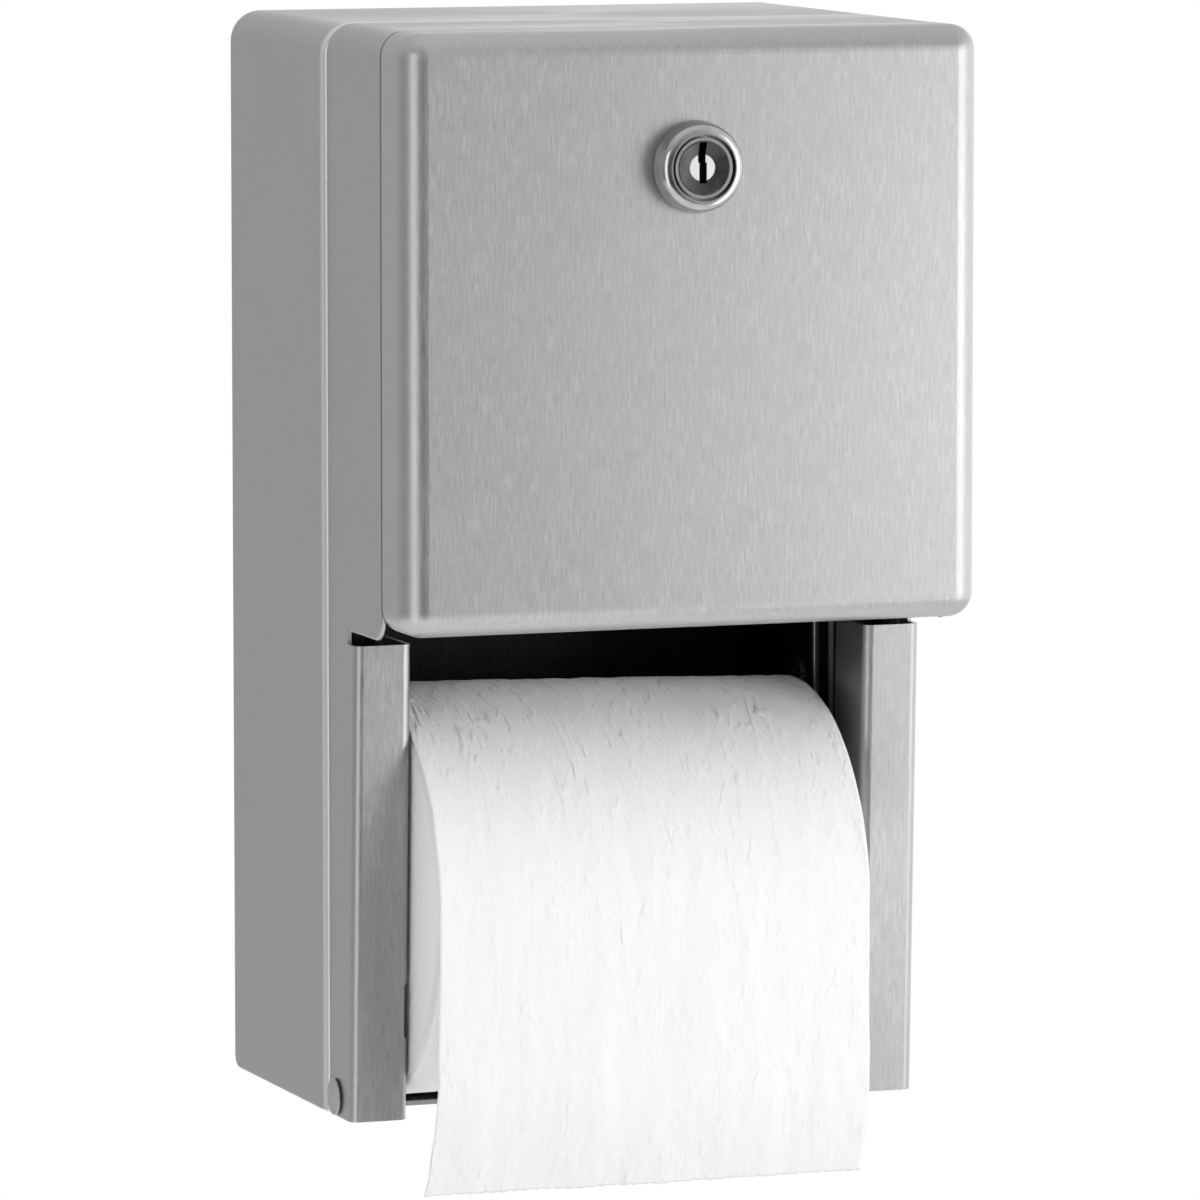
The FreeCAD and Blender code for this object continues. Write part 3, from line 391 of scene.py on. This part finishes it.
SATIN_GRAIN = {"smooth": 0.34, "rough": 0.42, "lines": 1600.0, "run": 200.0, "depth": 0.012 * MM}
MILL_GRAIN = {"smooth": 0.4, "rough": 0.52, "lines": 1100.0, "run": 220.0, "depth": 0.008 * MM,
              "anisotropy": 0.2}
SPRING_GRAIN = {"smooth": 0.25, "rough": 0.4, "lines": 2200.0, "run": 120.0, "depth": 0.006 * MM}
SATIN_TONES = grey(0.35, -0.012), grey(0.46, -0.012)
PANEL_TONES = grey(0.38, -0.004), grey(0.50, -0.004)
# Very dark tones as painted shade for the pieces inside the cabinet; the back plate's faces turned to the
# wall keep plain steel tones
MILL_PAINTED_SHADE_TONES = grey(0.03), grey(0.05)
BACK_TONES = grey(0.26, -0.01), grey(0.36, -0.01)
SPRING_TONES = grey(0.2, -0.02), grey(0.29, -0.03)

# A painted highlight across the cabinet's front bend and the flat side just behind it
CABINET_BEND = -77 * MM
CABINET_BEND_PAINTED_HIGHLIGHT = places_from(CABINET_BEND, -1.6, -0.9, -0.2, 2.2), grey(0.69)
# Painted shade along the seam round the drawn panel: a dark line at the panel's rear edge
PANEL_SEAM_PAINTED_SHADE = places_from(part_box("door_panel")[1].y, -1.3, -0.7, 0, 1), grey(0.1)

# The track for the spindles has two bends, at its rear wall's edge and near its base, each with a painted
# highlight
TRACK_HALF_WIDTH = 9 * MM
TRACK_REAR = places_from(lower_middle.y + TRACK_HALF_WIDTH, -1.2, -0.6, 0.8, 1.8)
TRACK_EDGE_PAINTED_HIGHLIGHT = TRACK_REAR, grey(0.4), places_from(0, 64, 64.3, 65.2, 66.2)
TRACK_BASE_PAINTED_HIGHLIGHT = TRACK_REAR, grey(0.95), places_from(0, 68.5, 68.9, 69.8, 70.3)

SATIN = brushed_metal("satin_stainless", *SATIN_TONES, **SATIN_GRAIN)
CABINET = brushed_metal("satin_stainless_cabinet_painted_highlight", *SATIN_TONES, **SATIN_GRAIN, painted_bands=[CABINET_BEND_PAINTED_HIGHLIGHT])
PANEL = brushed_metal("satin_stainless_panel_painted_shade", *PANEL_TONES, **SATIN_GRAIN, along_y=1.0, painted_bands=[PANEL_SEAM_PAINTED_SHADE])
# Interior pieces in painted shade; the back plate is darkened only on the faces that look into the cabinet
MILL = brushed_metal("mill_stainless_painted_shade", *MILL_PAINTED_SHADE_TONES, **MILL_GRAIN)
GUIDE = brushed_metal("mill_stainless_guides_painted_shade_and_highlights", *MILL_PAINTED_SHADE_TONES, **MILL_GRAIN, painted_bands=[TRACK_EDGE_PAINTED_HIGHLIGHT, TRACK_BASE_PAINTED_HIGHLIGHT])
BACKING = brushed_metal("mill_stainless_back_painted_shade", *MILL_PAINTED_SHADE_TONES, **MILL_GRAIN, behind=BACK_TONES)
SPRING = brushed_metal("spring_steel", *SPRING_TONES, **SPRING_GRAIN)
BRIGHT = smooth_metal("bright_steel", grey(0.34), grey(0.42), 0.26, 0.38, 0.004 * MM)
CHROME = smooth_metal("lock_chrome", grey(0.38), grey(0.47), 0.15, 0.21, 0.002 * MM)
NICKEL = keyed_plug()
PLASTIC = moulded_plastic()
TISSUE = tissue_paper()
LOWER_CARD = wound_card("core_card", lower_middle)
RESERVE_CARD = wound_card("core_card_reserve", reserve_middle)

FINISHES = {
    SATIN: ("floor_plate", "door_frame"),
    CABINET: ("cabinet_shell",),
    BACKING: ("back_plate",),
    GUIDE: ("guide_left", "guide_right"),
    MILL: ("strike_bracket", "drop_cam_left", "drop_cam_right"),
    PANEL: ("door_panel",),
    BRIGHT: ("hinge_rivets", "hinge_washers", "cam_pivot_pins", "cam_clips", "lock_nut", "lock_washer",
             "lock_screw", "lock_cam"),
    SPRING: ("cam_springs",),
    CHROME: ("lock_escutcheon", "lock_housing"),
    NICKEL: ("lock_plug",),
    PLASTIC: ("lower_spindle", "reserve_spindle"),
    LOWER_CARD: ("lower_core",),
    RESERVE_CARD: ("reserve_core",),
}


def dress_packed_pieces():
    for material, names in FINISHES.items():
        for name in names:
            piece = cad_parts[name]
            if not piece.material_slots:
                piece.data.materials.append(None)
            for slot in piece.material_slots:
                slot.material = material


# Paper and weld marks, made with geometry nodes

# Creases reach about this far either way: a roll's skin lies that much in, its loose end that much out
CREASE_REACH = 0.35
ROLL_SLUMP = 2.8 * MM


def creases_group():
    """How far tissue lies above or below its smooth shape: long creases and broad waves."""
    tree, given, out = new_group("GeometryNodeTree", "tissue_creases",
                                 [("Place", "Vector", None), ("Seed", "Float", 0.0)], [("Height", "Float")])
    seeded = moved(tree, given["Place"], combine(tree, y=given["Seed"]))
    fine = stretched_noise(tree, seeded, (300, 110, 110))
    broad = stretched_noise(tree, seeded, (90, 22, 22), detail=1.5)
    height = in_shares(tree, fine, 0.35, broad, 0.95)
    set_inputs(tree, out, Height=minus(tree, height, 0.65))
    return tree


def grid_place(tree):
    """Where a point of a flat grid lies, by axis."""
    return split(tree, add(tree, "GeometryNodeInputPosition").outputs[0])


def unit_grid(tree, columns, rows):
    return add(tree, "GeometryNodeMeshGrid", Size_X=1.0, Size_Y=1.0, Vertices_X=columns,
               Vertices_Y=rows).outputs[0]


def keep_place(tree, geometry, vector):
    """The piece's own place on the sheet, kept for its finish to read."""
    return add(tree, "GeometryNodeStoreNamedAttribute", {"data_type": "FLOAT_VECTOR", "domain": "POINT"},
               Geometry=geometry, Name="sheet_place", Value=vector).outputs[0]


def set_position(tree, geometry, position):
    return add(tree, "GeometryNodeSetPosition", Geometry=geometry, Position=position).outputs[0]


def end_tree(tree, out, geometry, material, smooth=True):
    """The tree's end: real faces in their finish."""
    if smooth:
        geometry = add(tree, "GeometryNodeSetShadeSmooth", Geometry=geometry).outputs[0]
    real = add(tree, "GeometryNodeRealizeInstances", Geometry=geometry).outputs[0]
    finished = add(tree, "GeometryNodeSetMaterial", Geometry=real, Material=material).outputs[0]
    set_inputs(tree, out, Geometry=finished)


def shoulder(tree, across, half, slump):
    """How far a soft roll sinks towards its right-hand end."""
    share = spread(tree, math_node(tree, "DIVIDE", across, half), -1.0, 1.0)
    return times(tree, math_node(tree, "POWER", share, 1.2), slump)


def roll_tree(creases):
    """A wound roll: a softly creased barrel and layered ends, about an axis along X."""
    tree, given, out = new_group(
        "GeometryNodeTree", "wound_roll",
        [("Geometry", "Geometry", None), ("Core Radius", "Float", 0.022), ("Roll Radius", "Float", 0.053),
         ("Half Width", "Float", 0.058), ("Centre", "Vector", None), ("Crease Height", "Float", 0.0005),
         ("Soft Edge", "Float", 0.0014), ("Stagger", "Float", 0.0004), ("Slump", "Float", 0.0),
         ("Seed", "Float", 0.0), ("Paper", "Material", None)],
        [("Geometry", "Geometry")])
    columns, barrel_rows, bore_rows, end_rows = 241, 121, 5, 61
    layer_pitch, layer_scale, seed_apart, outer_power = 0.35 * MM, 700.0, 3.0, 14.0
    inner_share, join_distance = 0.001, 0.02 * MM
    parts = grid_place(tree)
    turn = times(tree, plus(tree, parts["X"], 0.5), FULL_TURN)
    cosine, sine = math_node(tree, "COSINE", turn), math_node(tree, "SINE", turn)
    radius, half = given["Roll Radius"], given["Half Width"]

    def ring(across, distance):
        """The place on a circle round the axis."""
        return combine(tree, across, times(tree, distance, cosine), times(tree, distance, sine))

    def skin(across):
        """The barrel's radius where it is that far from the roll's middle."""
        rise = place_group(tree, creases, Place=ring(across, radius), Seed=given["Seed"])["Height"]
        rise = times(tree, minus(tree, rise, CREASE_REACH), given["Crease Height"])
        inside = math_node(tree, "DIVIDE", minus(tree, half, absolute(tree, across)), given["Soft Edge"])
        drop = math_node(tree, "SUBTRACT", 1.0, inside, clamp=True)
        drop = times(tree, math_node(tree, "POWER", drop, 2.0), given["Soft Edge"])
        drop = plus(tree, drop, shoulder(tree, across, half, given["Slump"]))
        return minus(tree, plus(tree, radius, rise), drop)

    def set_round(rows, across, distance, layer, flip):
        """A grid wrapped round the axis at the given distances along and from it."""
        sheet = combine(tree, across, times(tree, turn, radius), layer)
        kept = keep_place(tree, unit_grid(tree, columns, rows), sheet)
        placed = set_position(tree, kept, moved(tree, ring(across, distance), given["Centre"]))
        return add(tree, "GeometryNodeFlipFaces", Mesh=placed).outputs[0] if flip else placed

    across = times(tree, parts["Y"], times(tree, half, 2.0))
    share = plus(tree, parts["Y"], 0.5)
    bare = minus(tree, 1.0, math_node(tree, "POWER", share, outer_power))
    shells = [set_round(barrel_rows, across, skin(across), 0.0, False),
              set_round(bore_rows, across, given["Core Radius"], 0.0, True)]
    for side in (-1.0, 1.0):
        depth = minus(tree, skin(times(tree, half, side)), given["Core Radius"])
        distance = times_plus(tree, depth, share, given["Core Radius"])
        wind = times_plus(tree, turn, layer_pitch / FULL_TURN, distance)
        layer = noise(tree, combine(tree, side * seed_apart, given["Seed"], times(tree, wind, layer_scale)))
        stagger = times(tree, times(tree, layer, given["Stagger"]), bare)
        stagger = times(tree, stagger, math_node(tree, "GREATER_THAN", share, inner_share))
        end = times(tree, minus(tree, half, stagger), side)
        shells.append(set_round(end_rows, end, distance, distance, side > 0))
    joined = add(tree, "GeometryNodeJoinGeometry")
    for shell in reversed(shells):
        tree.links.new(shell, joined.inputs[0])
    merged = add(tree, "GeometryNodeMergeByDistance", Geometry=joined.outputs[0], Distance=join_distance)
    end_tree(tree, out, merged.outputs[0], given["Paper"])
    return tree


def tail_tree(creases):
    """Loose paper laid along a path: creased, a little wavy, with a torn lower edge."""
    tree, given, out = new_group(
        "GeometryNodeTree", "hanging_tail",
        [("Geometry", "Geometry", None), ("Width", "Float", 0.116), ("Length", "Float", 0.16),
         ("Shift", "Float", 0.0), ("Crease Height", "Float", 0.0011), ("Held Length", "Float", 0.08),
         ("Tooth", "Float", 0.0004), ("Slump", "Float", 0.0), ("Flare", "Float", 0.0),
         ("Corner Curl", "Float", 0.0), ("Slant", "Float", 0.0), ("Seed", "Float", 0.0),
         ("Paper", "Material", None)],
        [("Geometry", "Geometry")])
    columns, rows, last_row = 161, 191, -0.499
    notch_half, notch_gain = 1.45 * MM, 690.0
    loosening, wave_height, sway_width = 70 * MM, 4.5 * MM, 1.2 * MM
    parts = grid_place(tree)
    across = times(tree, parts["X"], given["Width"])
    along = times(tree, minus(tree, 0.5, parts["Y"]), given["Length"])

    # How far along the path each point lies, with the torn edge's teeth and its slant
    torn = times(tree, math_node(tree, "LESS_THAN", parts["Y"], last_row), given["Tooth"])
    notch = math_node(tree, "PINGPONG", plus(tree, across, 1.0), notch_half)
    reach = minus(tree, along, times(tree, torn, times(tree, notch, notch_gain)))
    slant = times(tree, plus(tree, parts["X"], 0.5), given["Slant"])
    slant = times(tree, slant, spread(tree, along, 60 * MM, given["Length"]))
    path = add(tree, "GeometryNodeSampleCurve", {"mode": "LENGTH"}, Curves=given["Geometry"],
               Length=minus(tree, reach, slant)).outputs

    # How far it stands off the path: creases and waves, the roll's slump and a corner that curls in
    free = spread(tree, along, given["Held Length"], plus(tree, given["Held Length"], loosening))
    rise = place_group(tree, creases, Place=combine(tree, across, along), Seed=given["Seed"])["Height"]
    lift = times(tree, plus(tree, rise, CREASE_REACH), given["Crease Height"])
    lift = times(tree, lift, times_plus(tree, free, 0.7, 1.0))
    wave = combine(tree, times(tree, across, 22.0), times(tree, along, 9.0), given["Seed"])
    wave = minus(tree, noise(tree, wave, detail=1.0), 0.42)
    lift = plus(tree, lift, times(tree, wave, times(tree, free, wave_height)))
    sink = shoulder(tree, across, times(tree, given["Width"], 0.5), given["Slump"])
    lift = minus(tree, lift, times(tree, sink, spread(tree, along, 35 * MM, 95 * MM, 1.0, 0.0)))
    curl = math_node(tree, "POWER", spread(tree, along, 100 * MM, given["Length"]), 1.5)
    curl = times(tree, times(tree, curl, given["Corner Curl"]), minus(tree, 0.5, parts["X"]))
    lift = minus(tree, lift, curl)
    run = split(tree, path["Tangent"])
    outward = combine(tree, 0.0, run["Z"], times(tree, run["Y"], -1.0))
    away = scaled(tree, outward, combine(tree, 0.0, lift, lift))

    # How far it lies to the side: a slight sway, and a flare of its left edge
    sway = noise(tree, combine(tree, 0.0, times(tree, along, 70.0), given["Seed"]))
    sway = times(tree, minus(tree, sway, 0.5), times(tree, free, sway_width))
    flare = times(tree, spread(tree, along, 30 * MM, given["Length"]), given["Flare"])
    flare = times(tree, flare, minus(tree, parts["X"], 0.5))
    beside = plus(tree, plus(tree, across, given["Shift"]), plus(tree, sway, flare))

    kept = keep_place(tree, unit_grid(tree, columns, rows), combine(tree, across, along))
    place = moved(tree, moved(tree, path["Position"], combine(tree, beside)), away)
    end_tree(tree, out, set_position(tree, kept, place), given["Paper"])
    return tree


def spots_tree():
    """One spot, repeated over columns and rows that stand upright."""
    tree, given, out = new_group(
        "GeometryNodeTree", "weld_spots",
        [("Geometry", "Geometry", None), ("Columns", "Int", 2), ("Rows", "Int", 6),
         ("Across", "Float", 0.138), ("Up", "Float", 0.23), ("Middle", "Vector", None),
         ("Finish", "Material", None)],
        [("Geometry", "Geometry")])
    grid = add(tree, "GeometryNodeMeshGrid", Size_X=given["Across"], Size_Y=given["Up"],
               Vertices_X=given["Columns"], Vertices_Y=given["Rows"]).outputs[0]
    parts = grid_place(tree)
    stood = set_position(tree, grid, moved(tree, combine(tree, parts["X"], 0.0, parts["Y"]), given["Middle"]))
    placed = add(tree, "GeometryNodeInstanceOnPoints", Points=stood, Instance=given["Geometry"]).outputs[0]
    end_tree(tree, out, placed, given["Finish"], smooth=False)
    return tree


def link(thing):
    bpy.context.scene.collection.objects.link(thing)
    return thing


def grow(name, tree, base=None, **sizes):
    """The mesh that a tree makes from its base and sizes, as a plain object at the origin."""
    holder = link(bpy.data.objects.new(name + "_form", base or bpy.data.meshes.new(name + "_form")))
    modifier = holder.modifiers.new("form", "NODES")
    modifier.node_group = tree
    sockets = {item.name: item.identifier for item in tree.interface.items_tree if item.in_out == "INPUT"}
    for label, value in sizes.items():
        modifier[sockets[label.replace("_", " ")]] = value
    bpy.context.view_layer.update()
    depsgraph = bpy.context.evaluated_depsgraph_get()
    mesh = bpy.data.meshes.new_from_object(holder.evaluated_get(depsgraph), depsgraph=depsgraph)
    bpy.data.objects.remove(holder)
    mesh.name = name
    return link(bpy.data.objects.new(name, mesh))


def make_rolls(creases):
    tree = roll_tree(creases)
    for name, node, body, core, seed, slump in (
            ("lower_roll_paper", "lower_paper", "lower_roll", "lower_core", 0.13, ROLL_SLUMP),
            ("reserve_roll_paper", "reserve_paper", "reserve_roll", "reserve_core", 0.71, 0.6 * MM)):
        middle, half = box_middle(node)
        core_half = box_middle(core)[1]
        roll = grow(name, tree, Core_Radius=core_half.z, Roll_Radius=half.z, Half_Width=half.x, Centre=middle,
                    Slump=slump, Seed=seed, Paper=TISSUE)
        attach(roll, body)
        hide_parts(node)


def tail_path():
    """The tail's line: over the top of the roll, down its front, and a slow curl back at the end."""
    off_roll, start_angle = 0.45 * MM, math.radians(14)
    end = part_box("paper_tail")[0].z
    axis_y, axis_z = lower_middle.y, lower_middle.z
    radius = lower_half.z + off_roll
    top, front = axis_z + radius, axis_y - radius
    quarter_handle = 4 / 3 * math.tan(math.pi / 8) * radius
    start_handle = 4 / 3 * math.tan(start_angle / 4) * radius
    start_y, start_z = axis_y + radius * math.sin(start_angle), axis_z + radius * math.cos(start_angle)
    step_y, step_z = -start_handle * math.cos(start_angle), start_handle * math.sin(start_angle)
    # Depth and level of each knot, and of the handles before and after it
    knots = [
        ((start_y, start_z), (start_y - step_y, start_z - step_z), (start_y + step_y, start_z + step_z)),
        ((axis_y, top), (axis_y + start_handle, top), (axis_y - quarter_handle, top)),
        ((front, axis_z), (front, axis_z + quarter_handle), (front, axis_z - 14 * MM)),
        ((front + 0.6 * MM, -131 * MM), (front, -117 * MM), (front + 1.4 * MM, -141 * MM)),
        ((front + 9.5 * MM, end - 2.5 * MM), (front + 5.2 * MM, end + 6.5 * MM),
         (front + 10.5 * MM, end - 4 * MM))]
    curve = bpy.data.curves.new("tail_line", "CURVE")
    curve.dimensions = "3D"
    curve.resolution_u = 48
    spline = curve.splines.new("BEZIER")
    spline.bezier_points.add(len(knots) - 1)
    for point, (place, before, after) in zip(spline.bezier_points, knots):
        point.co = (0, *place)
        point.handle_left = (0, *before)
        point.handle_right = (0, *after)
    return curve, spline.calc_length()


def make_tail(creases):
    path, length = tail_path()
    tail = grow("hanging_paper", tail_tree(creases), path, Width=2 * lower_half.x, Length=length,
                Shift=lower_middle.x, Held_Length=80 * MM, Slump=ROLL_SLUMP, Flare=0.5 * MM,
                Corner_Curl=4 * MM, Slant=3 * MM, Seed=0.4, Paper=TISSUE)
    ply = tail.modifiers.new("ply", "SOLIDIFY")
    ply.thickness = 0.22 * MM
    ply.offset = 1.0
    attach(tail, "cabinet")
    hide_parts("paper_tail")


def spot_mesh():
    """A weld spot: a low ring round a shallow dish, facing +Y."""
    corners, middle_height = 20, 0.02 * MM
    # Radius and height of each ring in millimetres, from the middle outwards
    rings = [(1.3, 0.025), (1.9, 0.05), (2.3, 0.09), (2.6, 0.08), (2.9, 0.0)]
    turns = [FULL_TURN * index / corners for index in range(corners)]
    places = [(0, middle_height, 0)]
    for radius, rise in rings:
        places += [(radius * MM * math.cos(turn), rise * MM, radius * MM * math.sin(turn)) for turn in turns]
    steps = [(index, (index + 1) % corners) for index in range(corners)]
    faces = [(0, 1 + after, 1 + before) for before, after in steps]
    for ring in range(1, len(rings)):
        outer = 1 + ring * corners
        inner = outer - corners
        faces += [(inner + before, inner + after, outer + after, outer + before) for before, after in steps]
    mesh = bpy.data.meshes.new("weld_spot")
    mesh.from_pydata(places, [], faces)
    mesh.shade_smooth()
    return mesh


def make_weld_spots():
    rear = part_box("back_plate")[1].y
    rows = grow("back_weld_spots", spots_tree(), spot_mesh(), Columns=2, Rows=6, Across=138 * MM,
                Up=215 * MM, Middle=Vector((0, rear, 0)), Finish=BRIGHT)
    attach(rows, "cabinet")


# Stage, light and camera

def make_floor():
    """A pale round floor that keeps shadows, and glows where it is looked at or mirrored."""
    reach, level, corners = 1.3, -0.5, 96
    glow_strength, mirrored_share = 0.55, 0.65
    mesh = bpy.data.meshes.new("floor")
    turns = [FULL_TURN * index / corners for index in range(corners)]
    mesh.from_pydata([(reach * math.cos(turn), reach * math.sin(turn), level) for turn in turns], [],
                     [tuple(range(corners))])
    floor = link(bpy.data.objects.new("floor", mesh))
    material = bpy.data.materials.new("pale_floor")
    material.use_nodes = True
    tree = material.node_tree
    tree.nodes.clear()
    paint = add(tree, "ShaderNodeBsdfDiffuse", Color=grey(0.85))
    rays = add(tree, "ShaderNodeLightPath").outputs
    seen = math_node(tree, "MAXIMUM", rays["Is Camera Ray"], rays["Is Transmission Ray"])
    seen = times_plus(tree, rays["Is Glossy Ray"], mirrored_share, seen)
    glow = add(tree, "ShaderNodeEmission", Color=WHITE, Strength=times(tree, seen, glow_strength))
    both = add(tree, "ShaderNodeAddShader", _0=paint.outputs[0], _1=glow.outputs[0])
    add(tree, "ShaderNodeOutputMaterial", Surface=both.outputs[0])
    mesh.materials.append(material)


def light_room():
    """A pale studio: white where the camera looks, bright to the right, behind and overhead."""
    least, right, left, rear, overhead = 0.04, 1.5, 0.32, 0.57, 0.93
    world = bpy.data.worlds.new("studio")
    bpy.context.scene.world = world
    world.use_nodes = True
    tree = world.node_tree
    tree.nodes.clear()
    way = split(tree, add(tree, "ShaderNodeTexCoord").outputs["Generated"])
    level = least
    for axis, sign, gain in (("X", 1.0, right), ("X", -1.0, left), ("Y", 1.0, rear)):
        side = math_node(tree, "MAXIMUM", times(tree, way[axis], sign), 0.0)
        level = times_plus(tree, side, gain, level)
    above = math_node(tree, "MAXIMUM", way["Z"], 0.0)
    level = times(tree, level, minus(tree, 1.0, above))
    level = times_plus(tree, above, overhead, level)
    seen = add(tree, "ShaderNodeLightPath").outputs["Is Camera Ray"]
    paint = add(tree, "ShaderNodeBackground", Color=WHITE, Strength=between(tree, seen, level, 1.0))
    add(tree, "ShaderNodeOutputWorld", Surface=paint.outputs[0])


def turn_towards(held, aim):
    held.rotation_euler = (Vector(aim) - held.location).to_track_quat("-Z", "Y").to_euler()


def soft_light(name, place, aim, size, power, shape):
    lamp = bpy.data.lights.new(name, "AREA")
    lamp.shape = shape
    lamp.size, lamp.size_y = size
    lamp.energy = power
    held = link(bpy.data.objects.new(name, lamp))
    held.location = place
    turn_towards(held, aim)


def make_lights():
    soft_light("softbox_right", place=(0.36, -0.50, 0.0), aim=(0.04, -0.14, 0.02), size=(0.28, 0.6),
               power=0.93, shape="ELLIPSE")
    soft_light("softbox_left", place=(-0.78, -0.80, 0.02), aim=(0, -0.1, 0), size=(0.46, 1.1),
               power=2.7, shape="RECTANGLE")


def make_camera():
    camera = bpy.data.cameras.new("camera")
    camera.sensor_width = 36.0
    camera.lens = 266.4
    camera.clip_end = 60.0
    held = link(bpy.data.objects.new("camera", camera))
    held.location = (-0.7832, -2.2236, 0.2443)
    turn_towards(held, (-0.0021, -0.0752, -0.0105))
    bpy.context.scene.camera = held


bpy.context.scene.view_settings.view_transform = "Standard"
make_camera()
make_lights()
light_room()
make_floor()
dress_packed_pieces()
creases = creases_group()
make_rolls(creases)
make_tail(creases)
make_weld_spots()
